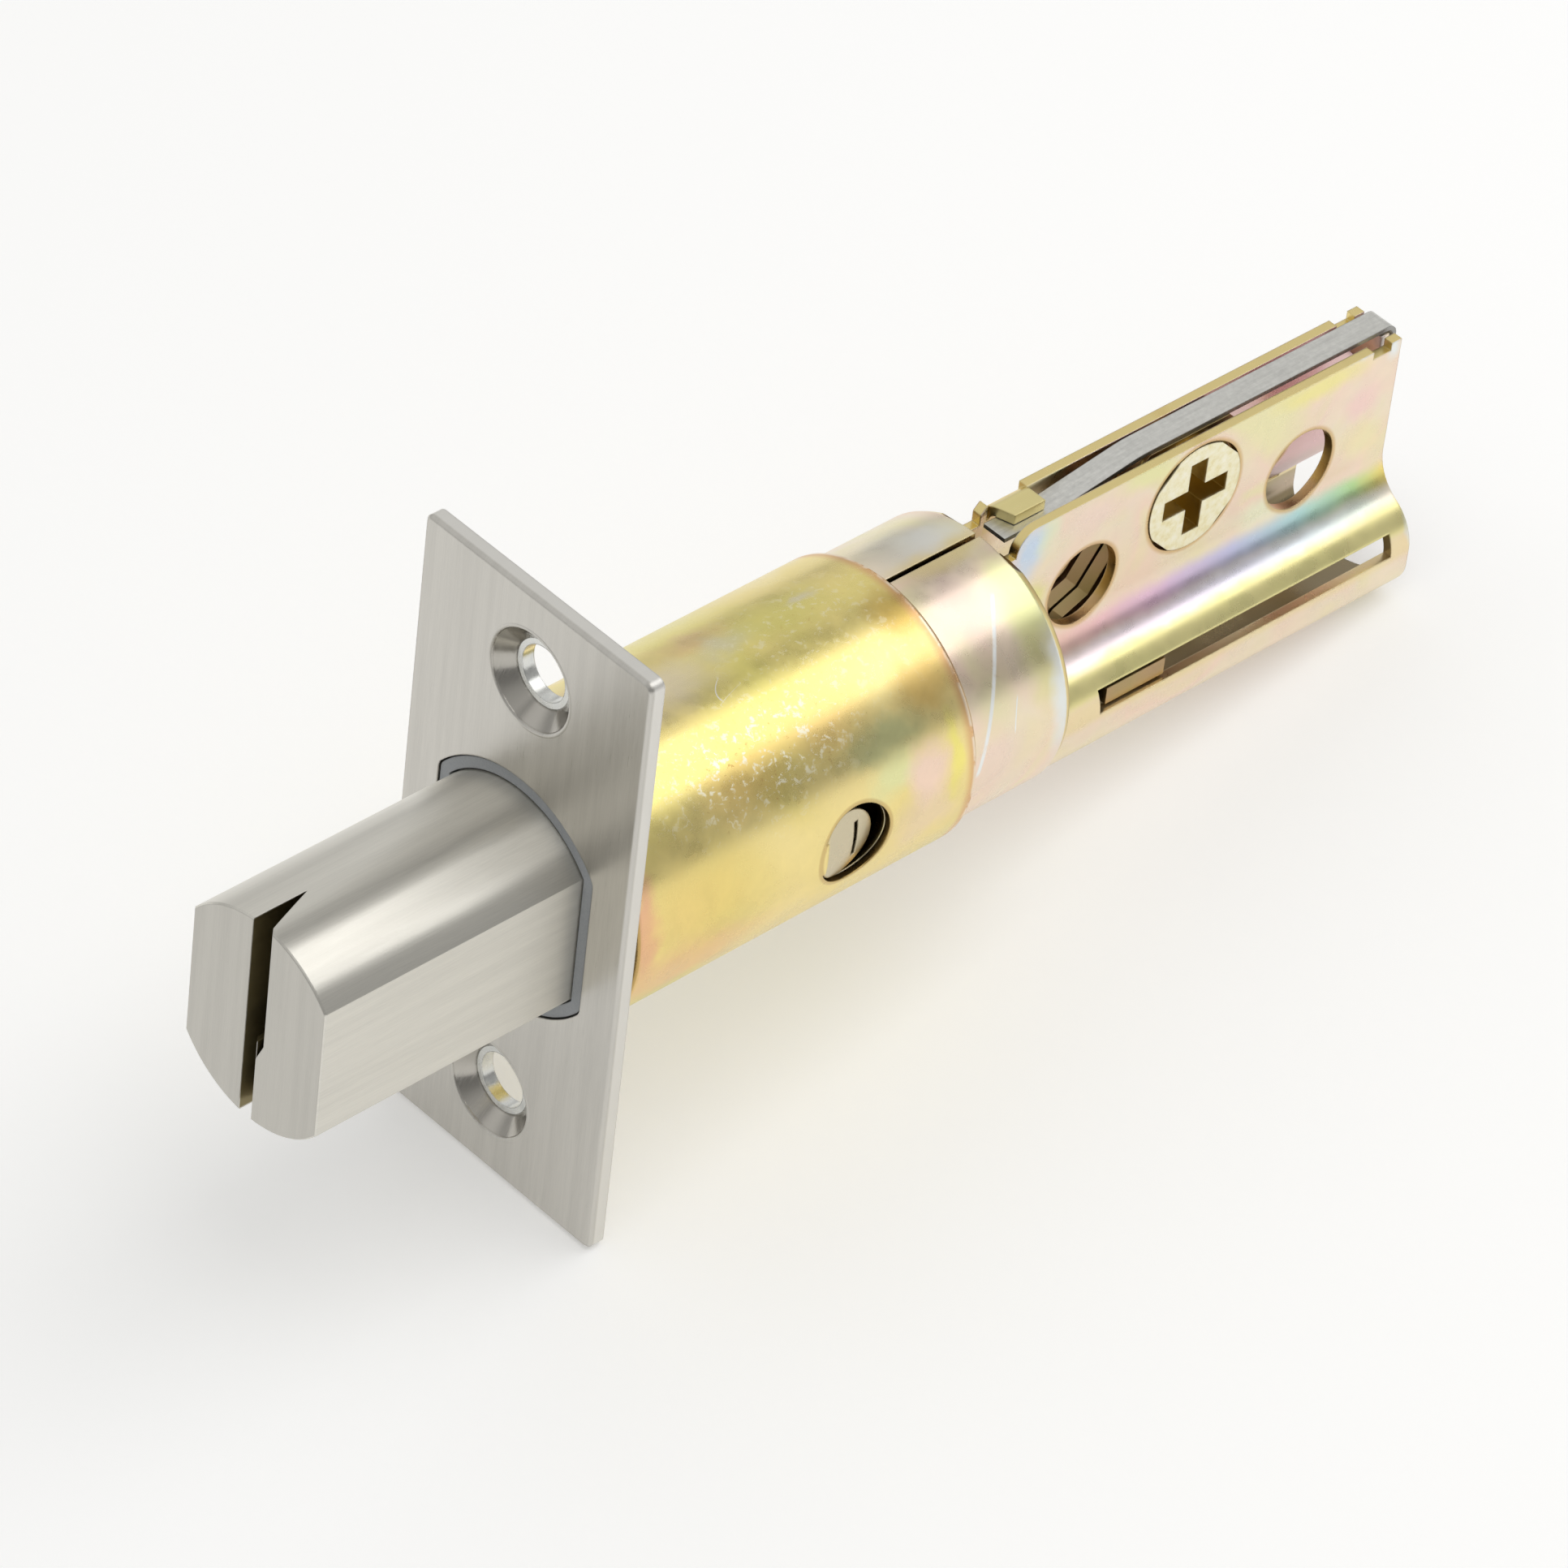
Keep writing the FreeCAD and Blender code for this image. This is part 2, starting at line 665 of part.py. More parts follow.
def end_slot():
    # Plan view of the slot: a straight left wall and a right wall that runs in to meet it.
    # The wedge's upper part is the wider one, and a slanted step joins it to the lower part.
    mouth_x = bolt_tip_x + overshoot
    root_x = bolt_tip_x - slot_depth
    lip = slot_lip_radius

    def wedge(right_wall, z_low, z_high):
        points = [
            point(mouth_x, slot_left_wall_y, z_low),
            point(mouth_x, right_wall, z_low),
            point(bolt_tip_x, right_wall, z_low),
            point(bolt_tip_x - lip, right_wall - lip, z_low),
            point(root_x, slot_left_wall_y + slot_root_width, z_low),
            point(root_x, slot_left_wall_y, z_low),
        ]
        return polygon_prism(points, point(0, 0, z_high - z_low))

    upper = wedge(slot_right_wall_y, slot_step_high, far)
    lower = wedge(slot_lower_wall_y, -far, slot_step_high + slot_step_overlap)
    step = polygon_prism([
        point(mouth_x, slot_lower_wall_y - slot_step_overlap, slot_step_high + slot_step_overlap),
        point(mouth_x, slot_right_wall_y, slot_step_high + slot_step_overlap),
        point(mouth_x, slot_lower_wall_y - slot_step_overlap, slot_step_low),
    ], point(-slot_depth * slot_step_share - overshoot, 0, 0))
    return upper.fuse([lower, step])


def make_hard_pin(side):
    # Hardened roller inside the bolt, which turns under a saw.
    rear = bolt_rear_x + hard_pin_inset
    return rod_along_x(hard_pin_radius, rear, rear + hard_pin_length,
                       side * hard_pin_side_offset, hard_pin_height)


def make_bolt_tail():
    # Hairpin of thick strip on edge: its bend sits in the bolt and its two legs carry pin and ears.
    middle = tail_inner_half_width + tail_sheet / 2
    route = [
        (ear_rear_x, middle),
        (tail_front_x, middle),
        (tail_front_x, -middle),
        (ear_rear_x, -middle),
    ]
    low = pin_height - tail_height / 2

    def flat_down(flat):
        return point(flat.x, flat.y, low)

    tail = bent_strip(route, [middle, middle], tail_sheet, point(0, 0, tail_height), flat_down)
    half = ear_thickness / 2
    for side in (1, -1):
        inner = side * (tail_outer_half_width - tail_sheet / 2)
        outer = side * ear_outer_half_width
        tail = tail.fuse(block(ear_rear_x, ear_front_x, min(inner, outer), max(inner, outer),
                               pin_height - half, pin_height + half))
    return tail.cut(rod_along_y(drive_pin_radius + pin_bore_clearance, -far, far, pin_x, pin_height))


def make_tail_pin():
    # Upright pin through the bolt that fills the hairpin's bend.
    return rod_along_z(tail_pin_radius, tail_pin_low, tail_pin_high, tail_pin_x, 0)


def make_drive_pin():
    # Cross pin between the tail's legs, in the cranks' forks.
    return rod_along_y(drive_pin_radius, -tail_outer_half_width, tail_outer_half_width, pin_x, pin_height)


def make_hub():
    # Cast hub: a flatted core between the cranks, a thin flange that parts them and a disc in each cheek.
    reach = cheek_half_width + hub_proud
    disc_radius = hub_hole_radius - hub_running_clearance
    crank_outer = crank_gap / 2 + crank_sheet
    hub = rod_along_y(hub_flange_radius, -crank_gap / 2, crank_gap / 2, hub_x, hub_height)
    hub = hub.fuse(hub_core(0.0, crank_outer))
    for side in (1, -1):
        low = min(side * crank_outer, side * reach)
        disc = rod_along_y(disc_radius, low, low + reach - crank_outer, hub_x, hub_height)
        trim = block(-hub_flat_distance, hub_flat_distance, -far, far, -hub_flat_distance, hub_flat_distance)
        trim.rotate(point(0, 0, 0), point(0, 1, 0), crank_swing_deg)
        trim.translate(point(hub_x, 0, hub_height))
        face_ring = block(hub_x - far, hub_x + far, min(side * cheek_gap_half, side * far),
                          max(side * cheek_gap_half, side * far), -far, far)
        hub = hub.fuse(disc.cut(face_ring.cut(trim)))
    half_span = hub_cross_span / 2
    half_width = hub_cross_width / 2
    upright = block(hub_x - half_width, hub_x + half_width, -far, far,
                    hub_height - half_span, hub_height + half_span)
    level = block(hub_x - half_span, hub_x + half_span, -far, far,
                  hub_height - half_width, hub_height + half_width)
    return hub.cut(upright.fuse(level))


def hub_core(growth, half_length):
    # Round bar with two flats that turns the cranks.
    core = rod_along_y(hub_core_radius + growth, -half_length, half_length, hub_x, hub_height)
    flat = hub_core_flat + growth
    return core.common(block(hub_x - far, hub_x + far, -half_length, half_length,
                             hub_height - flat, hub_height + flat))


def crank_outline(y_low, thickness):
    # Seen from the side with the arm hanging straight down from the hub at the origin.
    # The arm narrows to a waist that clears the trim's hole and widens again to carry the fork.
    tip = crank_tip_reach()
    waist = fork_root_reach - fork_half_width - crank_waist_lead
    tine = waist + crank_waist_lead + crank_tine_lag
    half_outline = [
        (crank_root_half_width, 0),
        (crank_waist_half_width, -waist),
        (crank_tip_half_width, -tine),
        (crank_tip_half_width, -tip),
    ]
    right = [point(x, y_low, z) for x, z in half_outline]
    left = [point(-x, y_low, z) for x, z in reversed(half_outline)]
    blank = rod_along_y(tip, y_low, y_low + thickness, 0, 0)
    arm = polygon_prism(right + left, point(0, thickness, 0)).common(blank)
    eye = rod_along_y(hub_flange_radius, y_low, y_low + thickness, 0, 0)
    return arm.fuse([eye, cam_outline(y_low, thickness)])


def cam_outline(y_low, thickness):
    # Two flats at right angles, which the leaf spring presses on at the ends of the turn.
    flat = cam_flat_distance
    corner_radius = math.hypot(flat, cam_flat_half_length)
    square = block(-flat, flat, y_low, y_low + thickness, -flat, flat)
    round_blank = rod_along_y(corner_radius, y_low, y_low + thickness, 0, 0)
    cam = square.common(round_blank)
    cam.rotate(point(0, 0, 0), point(0, 1, 0), crank_swing_deg)
    upper = block(-far, far, y_low, y_low + thickness, 0, far)
    return cam.common(upper)


def crank_tip_reach():
    # The fork's ends sweep just inside the floor of the bulb.
    outer_y = crank_gap / 2 + crank_sheet
    floor = math.sqrt((bulb_floor_radius - case_sheet) ** 2 - outer_y ** 2)
    return hub_height + floor - crank_tip_clearance


def make_crank_plate(side):
    low = crank_gap / 2 if side > 0 else -crank_gap / 2 - crank_sheet
    crank = crank_outline(low, crank_sheet)
    fork = rod_along_y(fork_half_width, -far, far, 0, -fork_root_reach)
    fork = fork.fuse(block(-fork_half_width, fork_half_width, -far, far, -far, -fork_root_reach))
    crank = crank.cut(fork)
    crank = crank.cut(rod_along_y(crank_rivet_radius, -far, far, 0, -crank_rivet_reach))
    crank.rotate(point(0, 0, 0), point(0, 1, 0), -crank_swing_deg)
    crank.translate(point(hub_x, 0, hub_height))
    return crank.cut(hub_core(hub_core_clearance, far))


def make_crank_rivet():
    # Rivet that ties the two cranks, with its ends peened flush.
    turn = math.radians(crank_swing_deg)
    x = hub_x + crank_rivet_reach * math.sin(turn)
    z = hub_height - crank_rivet_reach * math.cos(turn)
    outer = crank_gap / 2 + crank_sheet
    return rod_along_y(crank_rivet_radius, -outer, outer, x, z)


def build_nodes():
    return {
        "face_plate": make_face_plate(),
        "backing_plate": make_backing_plate(),
        "bolt_guide": make_bolt_guide(),
        "front_barrel": make_front_barrel(),
        "latch_case": make_latch_case(),
        "leaf_spring": make_leaf_spring(),
        "dead_bolt": make_dead_bolt(),
        "hard_pin_near": make_hard_pin(1),
        "hard_pin_far": make_hard_pin(-1),
        "bolt_tail": make_bolt_tail(),
        "tail_pin": make_tail_pin(),
        "drive_pin": make_drive_pin(),
        "hub": make_hub(),
        "crank_plate_near": make_crank_plate(1),
        "crank_plate_far": make_crank_plate(-1),
        "crank_rivet": make_crank_rivet(),
    }


os.makedirs("parts", exist_ok=True)
for name, shape in build_nodes().items():
    solids = shape.Solids
    print(name, "solids", len(solids), "volume", round(shape.Volume, 1), "valid", shape.isValid())
    shape.exportStep("parts/" + name + ".step")
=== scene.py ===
import json
import math

import bpy
from mathutils import Matrix, Vector


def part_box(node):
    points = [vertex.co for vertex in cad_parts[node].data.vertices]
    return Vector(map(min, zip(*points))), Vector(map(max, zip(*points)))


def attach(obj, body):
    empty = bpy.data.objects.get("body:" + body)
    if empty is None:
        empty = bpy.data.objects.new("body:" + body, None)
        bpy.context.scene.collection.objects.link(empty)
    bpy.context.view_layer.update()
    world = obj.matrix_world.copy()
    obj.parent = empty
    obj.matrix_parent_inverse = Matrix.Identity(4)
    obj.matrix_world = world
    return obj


# The frame: a tubular door latch, bolt thrown, with its axis along X and the plate's rear at X = 0.
# Places in space are in metres of that frame, and the materials work in its millimetres.
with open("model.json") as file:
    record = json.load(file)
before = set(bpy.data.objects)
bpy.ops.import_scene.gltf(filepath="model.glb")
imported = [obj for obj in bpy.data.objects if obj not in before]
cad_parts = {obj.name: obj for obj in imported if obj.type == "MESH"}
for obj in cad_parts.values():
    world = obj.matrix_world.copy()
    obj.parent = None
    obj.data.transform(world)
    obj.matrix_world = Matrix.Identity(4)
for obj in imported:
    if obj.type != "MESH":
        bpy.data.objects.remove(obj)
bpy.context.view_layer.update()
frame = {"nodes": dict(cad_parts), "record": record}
nodes = frame["nodes"]
MM = 0.001


# The view: a long lens from the front, right and above, as the photograph has it.
# Its place and its three directions were solved from the plate's corners, the holes and the tubes' outlines.
camera_place = Vector((400.158, 393.852, 489.386)) * MM
camera_right = Vector((-0.73180138, 0.67499262, 0.09408352))
camera_up = Vector((-0.3887245, -0.52680019, 0.7558934))
camera_back = Vector((0.55978568, 0.51659126, 0.64789927))
camera_data = bpy.data.cameras.new("photo_camera")
camera_data.lens = 224.1
camera_data.sensor_width = 36.0
camera_data.clip_start = 0.05
camera_data.clip_end = 20.0
camera = bpy.data.objects.new("photo_camera", camera_data)
camera_turn = Matrix((camera_right, camera_up, camera_back)).transposed()
camera.matrix_world = Matrix.Translation(camera_place) @ camera_turn.to_4x4()
bpy.context.scene.collection.objects.link(camera)
bpy.context.scene.camera = camera
bpy.context.scene.view_settings.view_transform = "Standard"


# The table: a plain sheet of matt white paper, wide enough for every view. The latch keeps its own frame,
# so the table is what tilts: it touches the plate's lower edge and the rounded corner at the case's rear.
# The camera sees it nearly white, while it keeps the soft shadow that the latch throws.
plate_foot = Vector((1.2, 0.0, -28.575)) * MM
tail_corner_centre = Vector((-87.1, 0.0, -9.45)) * MM
tail_corner_radius = 3.0 * MM
table_half = 1.6
paper_white = (246, 246, 246)
paper_glow = (255, 254, 251)
paper_glow_strength = 0.235


def add(tree, kind, **settings):
    made = tree.nodes.new("ShaderNode" + kind)
    for name, value in settings.items():
        setattr(made, name, value)
    return made


def feed(tree, source, node, name):
    # A number, a colour or another node's output goes into one of this node's inputs,
    # which is given by its name, or by its place where two share a name.
    target = node.inputs[name]
    if isinstance(source, bpy.types.NodeSocket):
        tree.links.new(source, target)
    elif isinstance(source, (tuple, list, Vector)) and target.type == "RGBA" and len(source) == 3:
        target.default_value = (*source, 1.0)
    else:
        target.default_value = source
    return node


def calc(tree, operation, first, second=0.0):
    made = add(tree, "Math", operation=operation)
    feed(tree, first, made, 0)
    feed(tree, second, made, 1)
    return made.outputs[0]


def either(tree, first, *others):
    # The strongest of several masks.
    for other in others:
        first = calc(tree, "MAXIMUM", first, other)
    return first


def colour(red, green, blue):
    # A display colour from 0 to 255, as the shader's linear one.
    shares = (red / 255, green / 255, blue / 255)
    return tuple(share / 12.92 if share <= 0.04045 else ((share + 0.055) / 1.055) ** 2.4 for share in shares)


def new_material(name):
    made = bpy.data.materials.new(name)
    made.use_nodes = True
    tree = made.node_tree
    tree.nodes.clear()
    out = add(tree, "OutputMaterial", name="Surface")
    shader = add(tree, "BsdfPrincipled")
    feed(tree, shader.outputs["BSDF"], out, "Surface")
    return made, tree, shader


reach = tail_corner_centre - plate_foot
lean = math.atan2(reach.z, -reach.x) - math.asin(tail_corner_radius / reach.length)
table_along = Vector((math.cos(lean), 0.0, -math.sin(lean)))
table_across = Vector((0.0, 1.0, 0.0))
corners = [
    plate_foot + table_along * table_half * forward + table_across * table_half * side
    for forward, side in ((-1, -1), (1, -1), (1, 1), (-1, 1))
]
table_mesh = bpy.data.meshes.new("table")
table_mesh.from_pydata(corners, [], [(0, 1, 2, 3)])
table = bpy.data.objects.new("table", table_mesh)
bpy.context.scene.collection.objects.link(table)

paper, tree, shader = new_material("white paper")
feed(tree, colour(*paper_white), shader, "Base Color")
feed(tree, 0.9, shader, "Roughness")
feed(tree, 0.1, shader, "Specular IOR Level")
path = add(tree, "LightPath")
seen = either(tree, path.outputs["Is Camera Ray"], path.outputs["Is Glossy Ray"],
              path.outputs["Is Transmission Ray"])
glow = add(tree, "Emission")
feed(tree, colour(*paper_glow), glow, "Color")
feed(tree, calc(tree, "MULTIPLY", seen, paper_glow_strength), glow, "Strength")
both = add(tree, "AddShader")
feed(tree, shader.outputs["BSDF"], both, 0)
feed(tree, glow.outputs["Emission"], both, 1)
feed(tree, both.outputs[0], tree.nodes["Surface"], "Surface")
table_mesh.materials.append(paper)


# The light: one long soft box above, running along the bolt, in a pale room.
# The room is brighter on the far side than on the near side, so that the soft shadow falls to the right,
# and the metal shows its dim strip and its dim skyline as darker bands beside the soft box.
latch_middle = Vector((-0.03, 0.0, 0.0))
box_toward = Vector((-0.2, 0.302, 0.932)).normalized()
box_distance = 0.8
box_width = 0.56
box_length = 1.1
box_radiance = 1.32
room_tone = (0.97, 0.97, 0.96)
far_wall = 0.82
near_wall = 0.46
far_wall_edge = -0.75
near_wall_edge = 0.55
strip_level = 0.62
strip_start = 0.28
strip_middle = 0.36
strip_end = 0.47
skyline_level = 0.6
skyline_low = 0.1
skyline_high = 0.42


def span(tree, source, low, high, out_low=0.0, out_high=1.0, smooth=True):
    made = add(tree, "MapRange", interpolation_type="SMOOTHSTEP" if smooth else "LINEAR")
    feed(tree, source, made, "Value")
    for name, value in (("From Min", low), ("From Max", high), ("To Min", out_low), ("To Max", out_high)):
        feed(tree, value, made, name)
    return made.outputs[0]


def ramp(tree, source, stops, mode="LINEAR"):
    # Each stop is a place from 0 to 1 with its colour, or with its grey as one number.
    made = add(tree, "ValToRGB")
    made.color_ramp.interpolation = mode
    elements = made.color_ramp.elements
    while len(elements) > 1:
        elements.remove(elements[-1])
    for index, (position, value) in enumerate(stops):
        element = elements[0] if index == 0 else elements.new(position)
        element.position = position
        element.color = (*value, 1.0) if isinstance(value, tuple) else (value, value, value, 1.0)
    feed(tree, source, made, "Fac")
    return made.outputs["Color"]


def axes(tree, place):
    made = add(tree, "SeparateXYZ")
    feed(tree, place, made, 0)
    return made.outputs


def times(tree, first, *others):
    # The product of several masks and amounts.
    for other in others:
        first = calc(tree, "MULTIPLY", first, other)
    return first


lamp = bpy.data.lights.new("overhead", "AREA")
lamp.shape = "RECTANGLE"
lamp.size = box_width
lamp.size_y = box_length
lamp.energy = box_radiance * math.pi * box_width * box_length
soft_box = bpy.data.objects.new("overhead", lamp)
soft_box.location = latch_middle + box_toward * box_distance
box_side = Vector((1, 0, 0)).cross(box_toward).normalized()
soft_box.rotation_euler = Matrix((box_side, box_toward.cross(box_side), box_toward)).transposed().to_euler()
bpy.context.scene.collection.objects.link(soft_box)

world = bpy.data.worlds.new("pale room")
bpy.context.scene.world = world
world.use_nodes = True
tree = world.node_tree
tree.nodes.clear()
room = add(tree, "Background")
feed(tree, room_tone, room, "Color")
_, sideways, upward = axes(tree, add(tree, "TexCoord").outputs["Generated"])
walls = span(tree, sideways, far_wall_edge, near_wall_edge, far_wall, near_wall)
dim_strip = ramp(tree, span(tree, sideways, -1.0, 1.0, smooth=False),
                 [(strip_start, 1.0), (strip_middle, strip_level), (strip_end, 1.0)], "EASE")
skyline = span(tree, upward, skyline_low, skyline_high, skyline_level, 1.0)
path = add(tree, "LightPath")
brightness = either(tree, times(tree, walls, dim_strip, skyline),
                    path.outputs["Is Camera Ray"], path.outputs["Is Transmission Ray"])
feed(tree, brightness, room, "Strength")
feed(tree, room.outputs[0], add(tree, "OutputWorld"), "Surface")


# The face plate: stamped steel, satin nickel plated, brushed up and down.
# Its edges are rubbed brighter, and the cone round each screw hole is pressed and left smooth, its colour
# darkened as painted shade.
_, plate_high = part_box("face_plate")
plate_front = plate_high[0] / MM
screw_edge_distance = 7.925
screw_distance = plate_high[2] / MM - screw_edge_distance
cone_mouth = 4.45
plate_nickel = (205, 202, 195)
cone_nickel_shaded = (178, 174, 166)
sheared_nickel = (232, 230, 225)
upright_brushing = (1.0, 9.0, 0.35)
# Most of a noise's values lie between these two.
noise_low = 0.3
noise_high = 0.7


def make_group(name, inputs, outputs):
    group = bpy.data.node_groups.new(name, "ShaderNodeTree")
    for title, kind, value in inputs:
        made = group.interface.new_socket(title, in_out="INPUT", socket_type="NodeSocket" + kind)
        if value is not None:
            made.default_value = value
    for title, kind in outputs:
        group.interface.new_socket(title, in_out="OUTPUT", socket_type="NodeSocket" + kind)
    return group, group.nodes.new("NodeGroupInput").outputs, group.nodes.new("NodeGroupOutput")


def place_group(tree, group, **inputs):
    made = add(tree, "Group", node_tree=group)
    for name, value in inputs.items():
        feed(tree, value, made, name.replace("_", " "))
    return made.outputs


def noise(tree, place, scale, detail=2.0, roughness=0.5, distortion=0.0):
    made = add(tree, "TexNoise")
    for name, value in (("Vector", place), ("Scale", scale), ("Detail", detail),
                        ("Roughness", roughness), ("Distortion", distortion)):
        feed(tree, value, made, name)
    return made.outputs[0]


def spread(tree, cloud, low, high, smooth=True):
    # A noise's usual range, turned into the range asked for.
    return span(tree, cloud, noise_low, noise_high, low, high, smooth)


def blend(tree, amount, first, second, mode="MIX"):
    made = add(tree, "Mix", data_type="RGBA", blend_type=mode)
    feed(tree, amount, made, 0)
    feed(tree, first, made, 6)
    feed(tree, second, made, 7)
    return made.outputs[2]


def coat(tree, tint, mask, tone, amount=1.0):
    # A display colour, or another node's, laid over the tint where the mask says.
    if amount != 1.0:
        mask = calc(tree, "MULTIPLY", mask, amount)
    return blend(tree, mask, tint, colour(*tone) if isinstance(tone, tuple) else tone)


def shade(tree, tint, tone):
    # The tint made darker or lighter by a grey about 1.
    return blend(tree, 1.0, tint, tone, "MULTIPLY")


def millimetres(tree, stretch=(1.0, 1.0, 1.0)):
    # Object coordinates in millimetres, stretched where a pattern runs along an axis.
    mapping = add(tree, "Mapping")
    feed(tree, add(tree, "TexCoord").outputs["Object"], mapping, "Vector")
    feed(tree, [share / MM for share in stretch], mapping, "Scale")
    return mapping.outputs["Vector"]


def from_axis(tree, first, second):
    # Distance from a line, from the two coordinates across it.
    squares = calc(tree, "ADD", times(tree, first, first), times(tree, second, second))
    return calc(tree, "SQRT", squares)


def build_brushing():
    # Fine parallel scratches: a lined value for colour and roughness, and a broad cloud.
    group, given, result = make_group(
        "brushed lines",
        [("Place", "Vector", None), ("Fineness", "Float", 1.0), ("Patches", "Float", 0.12)],
        [("Lines", "Float"), ("Cloud", "Float")],
    )
    feed(group, noise(group, given["Place"], given["Fineness"], 4.0, 0.65), result, "Lines")
    feed(group, noise(group, given["Place"], given["Patches"]), result, "Cloud")
    return group


def satin_tone(tree, stretch):
    # Brushed nickel: each line a little lighter or darker, and faint clouds along them.
    lines, cloud = place_group(tree, brushing, Place=millimetres(tree, stretch))
    lined = spread(tree, lines, -0.05, 0.05, smooth=False)
    return lines, calc(tree, "ADD", lined, spread(tree, cloud, 0.965, 1.025))


def metal(tree, shader, tint, rough):
    feed(tree, tint, shader, "Base Color")
    feed(tree, 1.0, shader, "Metallic")
    feed(tree, rough, shader, "Roughness")


def soften_edges(tree, shader, height=None, radius=0.12, strength=0.15, distance=0.02):
    # Broken edges catch the light as the real sheet's do; a height adds the fine relief.
    round_edge = add(tree, "Bevel", samples=4)
    feed(tree, radius * MM, round_edge, "Radius")
    normal = round_edge.outputs[0]
    if height is not None:
        bump = add(tree, "Bump")
        for name, value in (("Strength", strength), ("Distance", distance * MM),
                            ("Height", height), ("Normal", normal)):
            feed(tree, value, bump, name)
        normal = bump.outputs[0]
    feed(tree, normal, shader, "Normal")


def finish_node(name, material):
    piece = nodes[name]
    piece.data.materials.clear()
    piece.data.materials.append(material)


brushing = build_brushing()

plate_finish, tree, shader = new_material("satin nickel, brushed upright")
along, across, upward = axes(tree, millimetres(tree))
lines, tone = satin_tone(tree, upright_brushing)
above_screw = calc(tree, "SUBTRACT", calc(tree, "ABSOLUTE", upward), screw_distance)
from_screw = from_axis(tree, across, above_screw)
in_cone = times(tree, span(tree, from_screw, cone_mouth + 0.1, cone_mouth - 0.15),
                span(tree, along, plate_front - 0.01, plate_front - 0.08))
sheared = times(tree, span(tree, along, plate_front - 0.28, plate_front - 0.5),
                span(tree, from_screw, cone_mouth + 0.1, cone_mouth + 0.4))
tint = shade(tree, colour(*plate_nickel), tone)
# The cone's darker nickel is painted shade in the recess, over its smoother finish.
tint = coat(tree, tint, in_cone, cone_nickel_shaded, 0.8)
tint = coat(tree, tint, sheared, sheared_nickel, 0.7)
rough = span(tree, lines, 0.25, 0.75, 0.27, 0.4)
rough = calc(tree, "SUBTRACT", rough, times(tree, in_cone, 0.16))
rough = calc(tree, "ADD", rough, times(tree, sheared, 0.1))
metal(tree, shader, tint, rough)
soften_edges(tree, shader, lines, radius=0.22, strength=0.2, distance=0.01)
finish_node("face_plate", plate_finish)


# The lips of the screw holes: where the punch drew the cone in, the plate's skin rolls over softly.
# One ring for each hole, of the plate's own metal, proud of it by a few hundredths of a millimetre.
lip_round = 0.3
lip_proud = 0.035
cone_slope = 1.107
ring_steps = 96
section_steps = 20


def body_of(node):
    return next(body for body, held in frame["record"]["behaviour"]["bodies"].items() if node in held)


def geometry_node(tree, kind, **values):
    made = tree.nodes.new(kind)
    for name, value in values.items():
        feed(tree, value, made, name.replace("_", " "))
    return made


def build_lips():
    # A round section swept round each screw's axis: the two holes share one tree.
    tree = bpy.data.node_groups.new("screw hole lips", "GeometryNodeTree")
    sockets = {}
    for title, kind in (("Ring Radius", "Float"), ("Section Radius", "Float"),
                        ("Screw Distance", "Float"), ("Finish", "Material")):
        made = tree.interface.new_socket(title, in_out="INPUT", socket_type="NodeSocket" + kind)
        sockets[title] = made.identifier
    tree.interface.new_socket("Geometry", in_out="OUTPUT", socket_type="NodeSocketGeometry")
    given = tree.nodes.new("NodeGroupInput").outputs
    result = tree.nodes.new("NodeGroupOutput")
    ring = geometry_node(tree, "GeometryNodeCurvePrimitiveCircle", Resolution=ring_steps,
                         Radius=given["Ring Radius"])
    section = geometry_node(tree, "GeometryNodeCurvePrimitiveCircle", Resolution=section_steps,
                            Radius=given["Section Radius"])
    swept = geometry_node(tree, "GeometryNodeCurveToMesh", Curve=ring.outputs["Curve"],
                          Profile_Curve=section.outputs["Curve"])
    smooth = geometry_node(tree, "GeometryNodeSetShadeSmooth", Geometry=swept.outputs["Mesh"])
    lower = calc(tree, "MULTIPLY", given["Screw Distance"], -1.0)
    lower_end, upper_end = (
        feed(tree, height, add(tree, "CombineXYZ"), "Z").outputs[0]
        for height in (lower, given["Screw Distance"])
    )
    row = geometry_node(tree, "GeometryNodeMeshLine", Count=2, Start_Location=lower_end, Offset=upper_end)
    row.mode = "END_POINTS"
    upright = geometry_node(tree, "GeometryNodeInstanceOnPoints", Points=row.outputs["Mesh"],
                            Instance=smooth.outputs["Geometry"], Rotation=(0.0, math.pi / 2, 0.0))
    real = geometry_node(tree, "GeometryNodeRealizeInstances", Geometry=upright.outputs["Instances"])
    dressed = geometry_node(tree, "GeometryNodeSetMaterial", Geometry=real.outputs["Geometry"],
                            Material=given["Finish"])
    feed(tree, dressed.outputs["Geometry"], result, "Geometry")
    return tree, sockets


def plain_mesh(name, tree, values, body):
    # The evaluated tree as a plain mesh object, whose place is in its mesh, riding on a body.
    maker = bpy.data.objects.new(name + "_maker", bpy.data.meshes.new(name + "_maker"))
    bpy.context.scene.collection.objects.link(maker)
    modifier = maker.modifiers.new(name, "NODES")
    modifier.node_group = tree
    for identifier, value in values.items():
        modifier[identifier] = value
    bpy.context.view_layer.update()
    evaluated = maker.evaluated_get(bpy.context.evaluated_depsgraph_get())
    mesh = bpy.data.meshes.new_from_object(evaluated)
    bpy.data.objects.remove(maker)
    piece = bpy.data.objects.new(name, mesh)
    bpy.context.scene.collection.objects.link(piece)
    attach(piece, body)
    return piece


